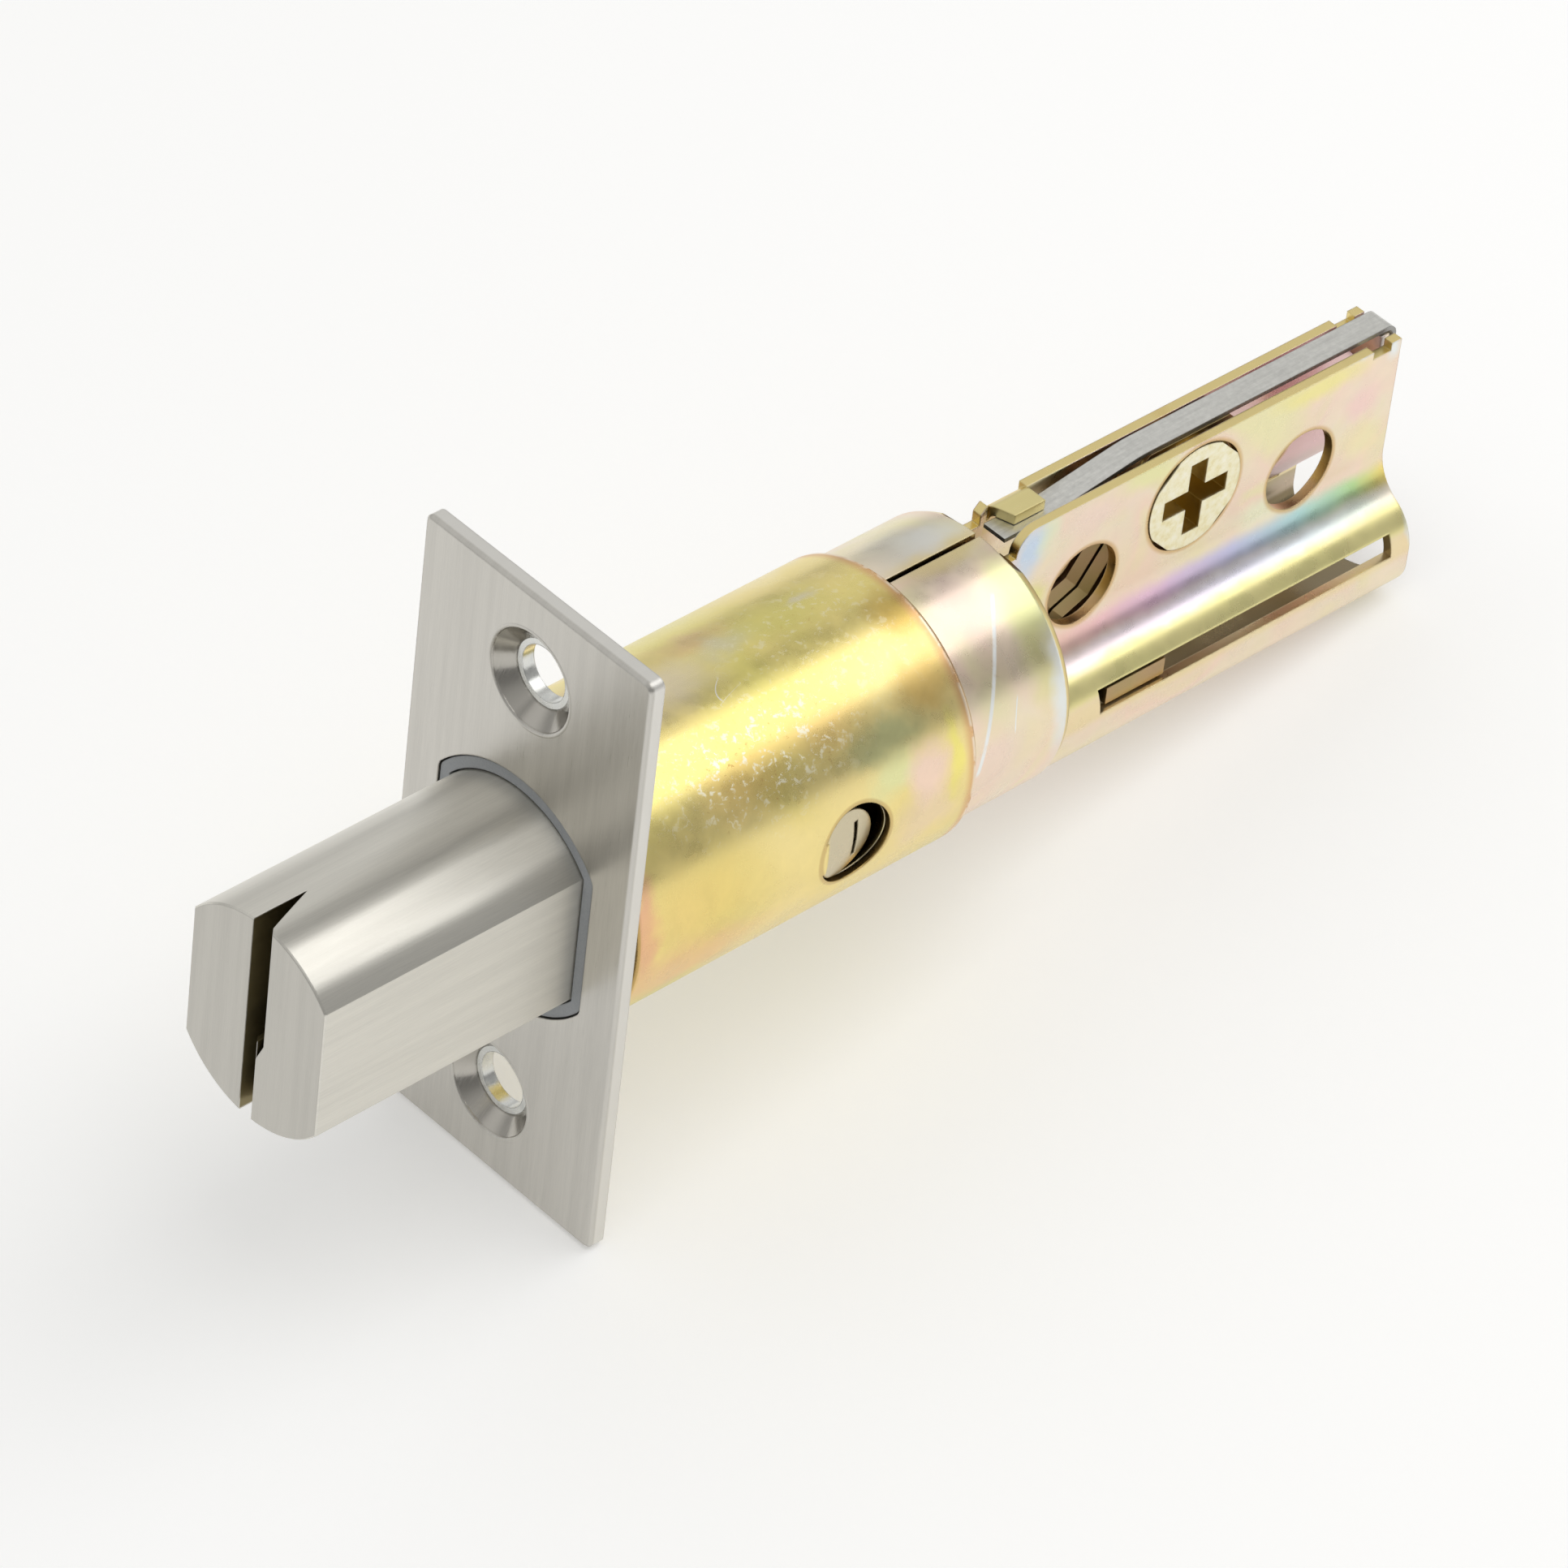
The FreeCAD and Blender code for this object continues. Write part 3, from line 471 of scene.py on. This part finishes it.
lip_depth = lip_round - lip_proud
ring_radius = cone_mouth - lip_depth * cone_slope + lip_depth * math.hypot(1.0, cone_slope)
lips_tree, lip_sockets = build_lips()
lips = plain_mesh("screw_hole_lips", lips_tree, {
    lip_sockets["Ring Radius"]: ring_radius * MM,
    lip_sockets["Section Radius"]: lip_round * MM,
    lip_sockets["Screw Distance"]: screw_distance * MM,
    lip_sockets["Finish"]: plate_finish,
}, body_of("face_plate"))
for corner in lips.data.vertices:
    corner.co.x += (plate_front - lip_depth) * MM


# The backing plate: plain bright zinc over steel, seen as a ledge inside each screw hole.
# It takes the barrel's end and its two staked tabs.
zinc_dull = (206, 207, 204)
zinc_bright = (234, 234, 229)


def mottle(tree, cloud, first, second):
    # Two colours, or two greys, mixed by a noise.
    return ramp(tree, cloud, [(noise_low, first), (noise_high, second)])


zinc, tree, shader = new_material("bright zinc")
spangle = noise(tree, millimetres(tree), 0.9, 3.0, 0.6)
tint = mottle(tree, spangle, colour(*zinc_dull), colour(*zinc_bright))
metal(tree, shader, tint, spread(tree, spangle, 0.18, 0.34))
soften_edges(tree, shader, spangle, radius=0.15)
finish_node("backing_plate", zinc)


# The bolt's guide: one slate-grey moulding, matt from the mould's spark finish.
# Only its lip shows, between the bolt and the plate.
slate_dark = (158, 162, 166)
slate_light = (173, 176, 178)

plastic, tree, shader = new_material("slate grey moulding")
grain = noise(tree, millimetres(tree), 6.0, 3.0, 0.6)
feed(tree, mottle(tree, grain, colour(*slate_dark), colour(*slate_light)), shader, "Base Color")
feed(tree, spread(tree, grain, 0.42, 0.55), shader, "Roughness")
feed(tree, 0.4, shader, "Specular IOR Level")
soften_edges(tree, shader, grain, strength=0.1)
finish_node("bolt_guide", plastic)


# The front barrel: drawn steel tube with a yellow zinc finish, the most rubbed part of the latch.
# The bath left it gold with greener and pinker clouds; handling left pits, scuffs and hairlines.
barrel_low, barrel_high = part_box("front_barrel")
barrel_radius = barrel_high[1] / MM
barrel_rear = barrel_low[0] / MM
tongue_x = -22.3
tongue_window = 3.6
green_gold = (232, 220, 134)
barrel_gold = (240, 221, 146)
pale_gold = (246, 226, 158)
rim_brown = (220, 172, 126)
rim_rubbed = (250, 236, 214)
fleck_pale = (255, 250, 226)
pit_brown = (186, 140, 76)
scratch_pale = (250, 246, 230)
window_brown = (186, 150, 96)
window_wall = (196, 164, 104)
tongue_zinc = (208, 197, 168)


def between(tree, source, low, high, soft):
    # 1 where the value lies between two limits, with soft ends.
    rise = span(tree, source, low - soft, low + soft)
    fall = span(tree, source, high - soft, high + soft, 1.0, 0.0)
    return calc(tree, "MULTIPLY", rise, fall)


def vector_calc(tree, operation, first, second=None, output=0):
    made = add(tree, "VectorMath", operation=operation)
    feed(tree, first, made, 0)
    if second is not None:
        feed(tree, second, made, 1)
    return made.outputs[output]


def build_clouds():
    # Broad drifting clouds in two sizes, as a plating bath leaves them.
    group, given, result = make_group(
        "plating clouds",
        [("Place", "Vector", None), ("Broad", "Float", 0.06), ("Small", "Float", 0.35)],
        [("Broad Cloud", "Float"), ("Small Cloud", "Float")],
    )
    feed(group, noise(group, given["Place"], given["Broad"], 2.0, 0.45, 0.6), result, "Broad Cloud")
    feed(group, noise(group, given["Place"], given["Small"], 5.0, 0.6, 0.3), result, "Small Cloud")
    return group


def build_drift():
    # The place pulled about by a noise, so that what follows it has ragged edges.
    group, given, result = make_group(
        "ragged place",
        [("Place", "Vector", None), ("Size", "Float", 0.3), ("Pull", "Float", 1.0)],
        [("Place", "Vector")],
    )
    wander = noise(group, given["Place"], given["Size"], 3.0, 0.55).node.outputs["Color"]
    pull = add(group, "VectorMath", operation="SCALE")
    feed(group, vector_calc(group, "SUBTRACT", wander, (0.5, 0.5, 0.5)), pull, 0)
    feed(group, given["Pull"], pull, "Scale")
    feed(group, vector_calc(group, "ADD", given["Place"], pull.outputs[0]), result, "Place")
    return group


def build_patch():
    # A soft patch on the metal: full at its centre, gone past its reach.
    group, given, result = make_group(
        "soft patch",
        [("Place", "Vector", None), ("Centre", "Vector", (0.0, 0.0, 0.0)),
         ("Reach", "Vector", (1.0, 1.0, 1.0)), ("Amount", "Float", 1.0)],
        [("Mask", "Float")],
    )
    away = vector_calc(group, "SUBTRACT", given["Place"], given["Centre"])
    away = vector_calc(group, "DIVIDE", away, given["Reach"])
    distance = vector_calc(group, "LENGTH", away, output="Value")
    feed(group, times(group, span(group, distance, 1.25, 0.25), given["Amount"]), result, "Mask")
    return group


def build_wear():
    # Scuffs: pale flecks in patches. Pits: small dark specks in the same patches.
    group, given, result = make_group(
        "rubbed flecks",
        [("Place", "Vector", None), ("Fleck Size", "Float", 1.6), ("Amount", "Float", 0.5)],
        [("Flecks", "Float"), ("Pits", "Float")],
    )
    fleck = noise(group, given["Place"], given["Fleck Size"], 6.0, 0.72, 0.4)
    feed(group, times(group, span(group, fleck, 0.54, 0.62), given["Amount"]), result, "Flecks")
    feed(group, times(group, span(group, fleck, 0.39, 0.32), given["Amount"]), result, "Pits")
    return group


def soft_mask(tree, place, centre, reach, amount=1.0):
    return place_group(tree, patch, Place=place, Centre=centre, Reach=reach, Amount=amount)[0]


def lay_patches(tree, place, tint, patches):
    # Each patch lays its own colour over what is there.
    for tone, centre, reach, amount in patches:
        tint = coat(tree, tint, soft_mask(tree, place, centre, reach, amount), tone)
    return tint


def round_tube(radius, x, degrees):
    # A place on a tube about the bolt's axis, by its turn from the top towards the near side.
    turned = math.radians(degrees)
    return (x, radius * math.sin(turned), radius * math.cos(turned))


def turn_from_top(tree, across, upward):
    # The same turn, in degrees, of the place that is shaded.
    return calc(tree, "MULTIPLY", calc(tree, "ARCTAN2", across, upward), math.degrees(1.0))


def hairline(tree, along, turned, ends, bow, width):
    # A scratch along a bowed line on a tube, between two (x, degrees) ends.
    (x_first, first), (x_last, last) = ends
    share = span(tree, turned, first, last, smooth=False)
    bulge = times(tree, share, calc(tree, "SUBTRACT", 1.0, share), 4.0 * bow)
    line = calc(tree, "ADD", span(tree, share, 0.0, 1.0, x_first, x_last, smooth=False), bulge)
    off = calc(tree, "ABSOLUTE", calc(tree, "SUBTRACT", along, line))
    return times(tree, span(tree, off, width, 0.3 * width), between(tree, turned, first, last, 1.5))


# Each patch: its colour, its place on the tube, how far it reaches along X, Y and Z, and how strong it is.
barrel_patches = [
    ((236, 212, 178), round_tube(barrel_radius, -6, -14), (9, 5, 3), 0.75),
    ((226, 214, 190), round_tube(barrel_radius, -12, -2), (6, 3, 2), 0.7),
    ((232, 196, 156), round_tube(barrel_radius, -18, -17), (4, 2, 3), 0.6),
    ((214, 208, 188), round_tube(barrel_radius, -20, -7), (3.4, 1.6, 3), 0.7),
    ((214, 206, 120), round_tube(barrel_radius, -25, -9), (6, 3.5, 3), 0.7),
    ((222, 214, 196), round_tube(barrel_radius, -28, -10), (1.6, 0.7, 1), 0.6),
    ((206, 170, 84), round_tube(barrel_radius, -33.5, 16), (3, 3, 2), 0.7),
    ((226, 190, 112), round_tube(barrel_radius, -32, 42), (3.2, 3, 3), 0.75),
    ((246, 208, 136), round_tube(barrel_radius, -21, 36), (6, 3, 3), 0.6),
    ((244, 204, 124), round_tube(barrel_radius, -13, 44), (5, 3, 3), 0.5),
    ((198, 202, 150), round_tube(barrel_radius, -26.5, 56), (5, 2, 2.2), 0.8),
    ((228, 234, 178), round_tube(barrel_radius, -26.5, 70), (3, 2, 2), 0.7),
    ((246, 216, 202), round_tube(barrel_radius, -29.8, 76), (2.6, 2, 3.4), 0.85),
    ((240, 216, 190), round_tube(barrel_radius, -30, 95), (4, 2, 3), 0.6),
    ((248, 236, 132), round_tube(barrel_radius, -33, 74), (0.9, 3, 5), 0.8),
    ((236, 178, 150), round_tube(barrel_radius, -0.4, 78), (1.7, 4, 6), 0.85),
    ((240, 190, 150), round_tube(barrel_radius, -5, 106), (9, 4, 3), 0.6),
    ((240, 208, 128), round_tube(barrel_radius, -6, 80), (7, 3, 5), 0.5),
]
barrel_pitting = (round_tube(barrel_radius, -15, 38), (12, 5, 6), 1.0)
barrel_scuffing = (round_tube(barrel_radius, -26, 10), (10, 9, 6), 0.35)
# Each hairline: its two ends as (x, degrees), how far it bows, and its width.
barrel_hairlines = [
    (((-16.4, 6), (-15.2, 15)), 0.5, 0.09),
    (((-17.6, 12), (-14.8, 16)), 0.2, 0.07),
]

clouds = build_clouds()
drift = build_drift()
patch = build_patch()
wear = build_wear()

barrel_finish, tree, shader = new_material("yellow zinc, barrel")
place = millimetres(tree)
along, across, upward = axes(tree, place)
turned = turn_from_top(tree, across, upward)
radial = from_axis(tree, across, upward)
ragged = place_group(tree, drift, Place=place, Size=0.28, Pull=3.2)[0]
broad, small = place_group(tree, clouds, Place=place)
tint = ramp(tree, broad, [(0.32, colour(*green_gold)), (0.5, colour(*barrel_gold)),
                          (0.66, colour(*pale_gold))])
tint = lay_patches(tree, ragged, tint, barrel_patches)
tint = shade(tree, tint, mottle(tree, small, 0.93, 1.05))

rubbed = either(tree, soft_mask(tree, ragged, *barrel_pitting), soft_mask(tree, ragged, *barrel_scuffing))
flecks, pits = place_group(tree, wear, Place=place, Fleck_Size=1.4, Amount=rubbed)
rim_wear = times(tree, between(tree, along, barrel_rear + 0.25, barrel_rear + 0.7, 0.15),
                 span(tree, small, 0.42, 0.56))
scratch = either(tree, *(hairline(tree, along, turned, *line) for line in barrel_hairlines))
tint = coat(tree, tint, span(tree, along, barrel_rear + 1.7, barrel_rear + 0.6), rim_brown, 0.85)
tint = coat(tree, tint, rim_wear, rim_rubbed, 0.85)
tint = coat(tree, tint, flecks, fleck_pale)
tint = coat(tree, tint, pits, pit_brown, 0.55)
tint = coat(tree, tint, scratch, scratch_pale)

from_window = from_axis(tree, calc(tree, "SUBTRACT", along, tongue_x), upward)
window_rim = times(tree, between(tree, from_window, tongue_window - 0.2, tongue_window + 0.3, 0.12),
                   span(tree, across, 0.0, 1.0))
inward = span(tree, radial, barrel_radius - 0.03, barrel_radius - 0.15)
on_wall = times(tree, inward, span(tree, from_window, tongue_window - 0.3, tongue_window - 0.1))
on_tongue = times(tree, inward, span(tree, from_window, tongue_window - 0.1, tongue_window - 0.3))
tint = coat(tree, tint, window_rim, window_brown, 0.5)
tint = coat(tree, tint, on_wall, window_wall)
tint = coat(tree, tint, on_tongue, tongue_zinc)
rough = calc(tree, "ADD", spread(tree, small, 0.24, 0.34), times(tree, flecks, 0.15))
metal(tree, shader, tint, rough)
soften_edges(tree, shader, calc(tree, "SUBTRACT", times(tree, small, 0.3), pits), radius=0.2, strength=0.1)
finish_node("front_barrel", barrel_finish)


# The case: one folded sheet with the same finish, more rainbow-like where it was bent, and paler there with a
# painted highlight along the bend.
# Its cut edges are darker and browner, the sleeve's inside is painted dark brown as shade, the sleeve's rear
# rim carries a painted white highlight, and the tail's corners are rubbed white.
case_low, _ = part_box("latch_case")
case_rear = case_low[0] / MM
sheet = 0.9
sleeve_radius = 11.65
sleeve_rear = -46.2
cheek_half = 2.6
channel_floor = 12.45
channel_floor_top = -7.0
channel_half = 7.0
bridge_rear = -52.6
bridge_front = -47.6
bridge_half = 1.7
case_holes = [(-55.4, 3.35, 3.75), (-79.9, 3.35, 3.75), (-67.4, 6.6, 5.1)]
yellow_beige = (236, 228, 178)
case_beige = (241, 226, 201)
pink_beige = (244, 220, 200)
straw_beige = (238, 230, 184)
bend_highlight_white = (255, 250, 252)
bend_yellow_and_highlight = (250, 240, 168)
bend_straw = (240, 222, 164)
lining_pink = (222, 186, 188)
rubbed_and_highlight_white = (238, 242, 240)
scratch_white = (244, 246, 244)
cut_gold = (232, 212, 150)
cheek_cut_gold = (234, 214, 150)
hole_brown = (206, 166, 96)
channel_shadow = (140, 126, 98)
bridge_gold = (232, 218, 156)
sleeve_inside_shade_brown = (120, 92, 50)
sleeve_patches = [
    ((226, 206, 192), round_tube(sleeve_radius, -38.5, 22), (3.4, 5, 4), 0.8),
    ((206, 202, 196), round_tube(sleeve_radius, -40, -14), (5, 4, 3), 0.7),
    ((226, 206, 140), round_tube(sleeve_radius, -41, 1), (6, 1.6, 2), 0.7),
    ((236, 238, 176), round_tube(sleeve_radius, -44.2, 32), (2.4, 5, 5), 0.9),
    ((226, 222, 150), round_tube(sleeve_radius, -43.5, 60), (2.2, 4, 5), 0.6),
    ((244, 222, 206), round_tube(sleeve_radius, -38.2, 90), (3.4, 3, 4), 0.7),
    ((232, 228, 176), round_tube(sleeve_radius, -38.4, 62), (2.6, 3, 4), 0.5),
    ((246, 228, 196), round_tube(sleeve_radius, -43, 92), (2.6, 3, 4), 0.6),
]
cheek_patches = [
    ((204, 222, 242), (-48.6, cheek_half, 10.2), (2.1, 2, 3.4), 0.95),
    ((226, 240, 206), (-50.6, cheek_half, 10.8), (1.6, 2, 2.4), 0.6),
    ((236, 232, 150), (-49.6, cheek_half, 4.2), (2.2, 2, 2.6), 0.9),
    ((246, 220, 208), (-57, cheek_half, 10.4), (5, 2, 2.2), 0.7),
    ((236, 234, 178), (-61.5, cheek_half, 11.4), (3.6, 2, 1.6), 0.8),
    ((244, 224, 190), (-57, cheek_half, 3.2), (6, 2, 3), 0.6),
    ((240, 234, 186), (-74.5, cheek_half, 9.6), (4, 2, 3), 0.6),
    ((244, 234, 158), (-81, cheek_half, 11.3), (6, 2, 1.6), 0.9),
    ((246, 212, 204), (-86.3, cheek_half, 7.2), (2.4, 2, 2.4), 0.85),
    ((242, 232, 176), (-87, cheek_half, 3.4), (3.2, 2, 2.2), 0.6),
    ((238, 246, 216), (-77, cheek_half, 1.2), (6, 2, 1.8), 0.6),
]
# The rainbow along the bend, from the case's rear to the sleeve.
rainbow_stops = [
    (0.0, (250, 226, 110)), (0.08, (176, 226, 150)), (0.22, (168, 222, 224)), (0.40, (190, 196, 238)),
    (0.58, (226, 188, 226)), (0.76, (246, 196, 200)), (1.0, (240, 206, 160)),
]
# White spots: a painted highlight on the sleeve's rounded rim, and handling's rubbing on its top and on the
# cheeks' and channel's rear corners.
case_rubbing_and_highlight = [
    (round_tube(sleeve_radius, -45.4, 72), (1.7, 4.5, 7.5), 1.0),
    (round_tube(sleeve_radius, -42, -12), (3.4, 2, 2), 0.45),
    ((-86, cheek_half, 12.6), (2.6, 3, 0.9), 1.0),
    ((-89.3, cheek_half, 11.8), (0.9, 3, 1.4), 1.0),
    ((-90.4, cheek_half + 4.0, -6), (0.8, 2.4, 3), 0.8),
]
sleeve_hairlines = [
    (((-42.1, 26), (-35.9, 92)), 0.75, 0.3),
    (((-40.4, 66), (-39.8, 80)), 0.1, 0.09),
]

case_finish, tree, shader = new_material("yellow zinc, case")
place = millimetres(tree)
along, across, upward = axes(tree, place)
turned = turn_from_top(tree, across, upward)
radial = from_axis(tree, across, upward)
aside = calc(tree, "ABSOLUTE", across)
behind = span(tree, along, sleeve_rear, sleeve_rear - 1.0)
ragged = place_group(tree, drift, Place=place, Size=0.25, Pull=2.6)[0]
ragged_along, _, ragged_up = axes(tree, ragged)
broad, small = place_group(tree, clouds, Place=place, Broad=0.1)
tint = ramp(tree, broad, [(0.30, colour(*yellow_beige)), (0.46, colour(*case_beige)),
                          (0.58, colour(*pink_beige)), (0.70, colour(*straw_beige))])
tint = lay_patches(tree, ragged, tint, sleeve_patches + cheek_patches)

# The bend's bands, from the cheek down into the channel's side: their heights, softness, tone and strength.
# The white line is a painted highlight, and the bright yellow band below it is the finish's yellow with
# painted highlight.
rainbow = ramp(tree, span(tree, ragged_along, case_rear, sleeve_rear, smooth=False),
               [(share, colour(*tone)) for share, tone in rainbow_stops])
# Painted highlight: the rainbow paled towards white along the bend's crest.
painted_highlight_line = blend(tree, 0.72, rainbow, colour(*bend_highlight_white))
slope = calc(tree, "ADD", upward, times(tree, calc(tree, "SUBTRACT", ragged_up, upward), 0.3))
for low, high, soft, tone, amount in (
    (-2.3, -0.6, 0.7, rainbow, 0.8),
    # Painted highlight: the white line, then the bright yellow band, laid over the finish's own colours.
    (-3.2, -2.3, 0.4, painted_highlight_line, 1.0),
    (-5.2, -3.3, 0.35, bend_yellow_and_highlight, 0.9),
    (-7.4, -5.2, 0.5, bend_straw, 0.6),
):
    tint = coat(tree, tint, times(tree, between(tree, slope, low, high, soft), behind), tone, amount)

# The sheet's inner face, pinker than its outer one, shows through the rear hole and beside the spring.
facing = axes(tree, add(tree, "NewGeometry").outputs["True Normal"])[1]
lining = times(tree, span(tree, times(tree, facing, across), -0.4, -1.2),
               span(tree, along, -58.0, -64.0), span(tree, upward, -6.0, -4.5))
tint = coat(tree, tint, lining, lining_pink, 0.85)
tint = shade(tree, tint, mottle(tree, small, 0.955, 1.03))

worn_and_highlit = either(tree, *(soft_mask(tree, ragged, *spot) for spot in case_rubbing_and_highlight))
scratch = either(tree, *(hairline(tree, along, turned, *line) for line in sleeve_hairlines))
scratch = times(tree, scratch, span(tree, small, 0.32, 0.46, 0.45, 1.0))
# White from rubbing, and on the sleeve's rim a painted highlight.
tint = coat(tree, tint, worn_and_highlit, rubbed_and_highlight_white, 0.95)
tint = coat(tree, tint, scratch, scratch_white)

on_sleeve = span(tree, along, sleeve_rear - 0.02, sleeve_rear + 0.02)
on_cheek = times(tree, span(tree, along, sleeve_rear + 0.02, sleeve_rear - 0.02),
                 span(tree, upward, 0.4, 0.9))
sleeve_cut = times(tree, on_sleeve, span(tree, radial, sleeve_radius - 0.02, sleeve_radius - 0.1))
cheek_cut = times(tree, on_cheek, between(tree, aside, cheek_half - sheet + 0.04, cheek_half - 0.05, 0.03))
# Painted shade: the sleeve's inner face, seen in its seam gap, darkened to a dark brown.
sleeve_inside_shade = times(tree, on_sleeve, span(tree, radial, sleeve_radius - 0.1, sleeve_radius - 0.45))
tint = coat(tree, tint, sleeve_cut, cut_gold)
tint = coat(tree, tint, cheek_cut, cheek_cut_gold)
for hole_x, hole_z, hole_radius in case_holes:
    from_hole = from_axis(tree, calc(tree, "SUBTRACT", along, hole_x), calc(tree, "SUBTRACT", upward, hole_z))
    hole_rim = between(tree, from_hole, hole_radius - 0.3, hole_radius + 0.3, 0.2)
    tint = coat(tree, tint, hole_rim, hole_brown, 0.65)
in_channel = times(tree, span(tree, upward, channel_floor_top + 0.1, channel_floor_top - 0.1),
                   span(tree, radial, channel_floor - 0.65, channel_floor - 0.8),
                   span(tree, aside, channel_half - sheet + 0.1, channel_half - sheet - 0.1), behind)
bridge = times(tree, between(tree, along, bridge_rear, bridge_front, 0.1),
               span(tree, aside, bridge_half + 0.05, bridge_half - 0.05), span(tree, upward, 9.0, 9.5))
tint = coat(tree, tint, in_channel, channel_shadow)
tint = coat(tree, tint, bridge, bridge_gold)
tint = coat(tree, tint, sleeve_inside_shade, sleeve_inside_shade_brown)
rough = calc(tree, "ADD", spread(tree, small, 0.25, 0.34), times(tree, either(tree, worn_and_highlit, scratch), 0.14))
metal(tree, shader, tint, rough)
soften_edges(tree, shader, calc(tree, "ADD", times(tree, small, 0.15), scratch), radius=0.2, strength=0.08)
finish_node("latch_case", case_finish)


# The leaf spring: hardened strip, left grey and slightly grainy.
# It is slipped under the case's bridge and folded down behind the cheeks.
spring_half = 1.2
spring_dark = (212, 211, 206)
spring_light = (224, 223, 218)
spring_side = (128, 127, 124)
rolled_along = (0.25, 3.0, 3.0)

spring_finish, tree, shader = new_material("spring strip")
place = millimetres(tree)
across = axes(tree, place)[1]
grain = noise(tree, place, 2.2, 5.0, 0.65)
streaks = noise(tree, millimetres(tree, rolled_along), 1.0, 4.0, 0.6)
tint = ramp(tree, grain, [(0.4, colour(*spring_dark)), (0.68, colour(*spring_light))])
tint = shade(tree, tint, mottle(tree, streaks, 0.9, 1.08))
sides = span(tree, calc(tree, "ABSOLUTE", across), spring_half - 0.08, spring_half)
tint = coat(tree, tint, sides, spring_side, 0.7)
metal(tree, shader, tint, spread(tree, grain, 0.38, 0.48))
soften_edges(tree, shader, grain, radius=0.1, strength=0.06)
finish_node("leaf_spring", spring_finish)


# The bolt: satin nickel as the plate, brushed along its length, its end brushed upright.
# The slot in its end is left as cast, its walls painted dark olive-brown as shade.
_, bolt_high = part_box("dead_bolt")
bolt_tip = bolt_high[0] / MM
bolt_radius = bolt_high[2] / MM
slot_depth = 5.2
slot_far_wall = -1.0
slot_near_wall = 1.2
side_nickel = (222, 219, 210)
end_nickel = (207, 204, 196)
slot_painted_shade = (132, 121, 88)
lengthwise_brushing = (0.35, 9.0, 9.0)

bolt_finish, tree, shader = new_material("satin nickel, brushed along")
along, across, upward = axes(tree, millimetres(tree))
on_end = span(tree, along, bolt_tip - 0.05, bolt_tip - 0.02)
side_lines, side_tone = satin_tone(tree, lengthwise_brushing)
end_lines, end_tone = satin_tone(tree, upright_brushing)
tint = blend(tree, on_end, shade(tree, colour(*side_nickel), side_tone),
             shade(tree, colour(*end_nickel), end_tone))
lines = add(tree, "Mix", data_type="FLOAT")
for position, value in ((0, on_end), (2, side_lines), (3, end_lines)):
    feed(tree, value, lines, position)
lines = lines.outputs[0]
slotted = times(tree, between(tree, across, slot_far_wall - 0.02, slot_near_wall + 0.04, 0.01),
                between(tree, along, bolt_tip - slot_depth - 0.2, bolt_tip - 0.1, 0.04),
                span(tree, from_axis(tree, across, upward), bolt_radius - 0.02, bolt_radius - 0.2))
# Painted shade inside the slot.
tint = coat(tree, tint, slotted, slot_painted_shade)
metal(tree, shader, tint, span(tree, lines, 0.25, 0.75, 0.31, 0.4))
feed(tree, 0.9, shader, "Anisotropic")
brushed_way = add(tree, "CombineXYZ")
feed(tree, calc(tree, "SUBTRACT", 1.0, on_end), brushed_way, "X")
feed(tree, on_end, brushed_way, "Z")
feed(tree, brushed_way.outputs[0], shader, "Tangent")
soften_edges(tree, shader, lines, radius=0.1, strength=0.12, distance=0.01)
finish_node("dead_bolt", bolt_finish)


# The inner works: the bolt's tail, bent from strip, and two stamped cranks, in the same yellow zinc.
# They show only through the case's holes and slots, and are painted darker and browner than the case as shade
# inside it.
works_olive_shaded = (176, 160, 110)
works_brown_shaded = (186, 156, 118)

shaded_works_finish, tree, shader = new_material("yellow zinc, works")
broad, small = place_group(tree, clouds, Place=millimetres(tree), Broad=0.2)
# A darker copy of the case's yellow zinc: painted shade for parts deep inside the case.
tint = mottle(tree, broad, colour(*works_olive_shaded), colour(*works_brown_shaded))
tint = shade(tree, tint, mottle(tree, small, 0.86, 1.04))
metal(tree, shader, tint, spread(tree, small, 0.28, 0.42))
soften_edges(tree, shader, small, radius=0.1)
for name in ("bolt_tail", "crank_plate_near", "crank_plate_far"):
    finish_node(name, shaded_works_finish)


# The pins: ground steel rod, cut to length and trapped in their holes.
# They are two hardened rollers in the bolt, the tail's upright pin, the drive pin and the cranks' rivet.
pin_dark = (168, 168, 168)
pin_light = (196, 196, 194)

pin_finish, tree, shader = new_material("ground steel")
grain = noise(tree, millimetres(tree), 3.0, 3.0, 0.6)
tint = mottle(tree, grain, colour(*pin_dark), colour(*pin_light))
metal(tree, shader, tint, spread(tree, grain, 0.2, 0.3))
soften_edges(tree, shader, radius=0.1)
for name in ("hard_pin_near", "hard_pin_far", "tail_pin", "drive_pin", "crank_rivet"):
    finish_node(name, pin_finish)


# The hub: a zinc casting, pale where it is rubbed, its cross-shaped socket painted darker brownish gold as
# shade.
# It is trapped between the cheeks and turns the two cranks on its flatted core.
_, hub_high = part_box("hub")
hub_face = hub_high[1] / MM
hub_gold = (232, 221, 172)
hub_cream = (244, 238, 206)
hub_white = (250, 246, 226)
socket_painted_shade = (196, 172, 102)

hub_finish, tree, shader = new_material("cast zinc")
place = millimetres(tree)
across = axes(tree, place)[1]
grain = noise(tree, place, 1.4, 4.0, 0.6)
tint = ramp(tree, grain, [(noise_low, colour(*hub_gold)), (0.5, colour(*hub_cream)),
                          (noise_high, colour(*hub_white))])
socket_shade_mask = span(tree, calc(tree, "ABSOLUTE", across), hub_face - 0.04, hub_face - 0.3)
# Painted shade, deeper than the hub's faces.
tint = coat(tree, tint, socket_shade_mask, socket_painted_shade)
metal(tree, shader, tint, spread(tree, grain, 0.28, 0.42))
soften_edges(tree, shader, grain, radius=0.15)
finish_node("hub", hub_finish)
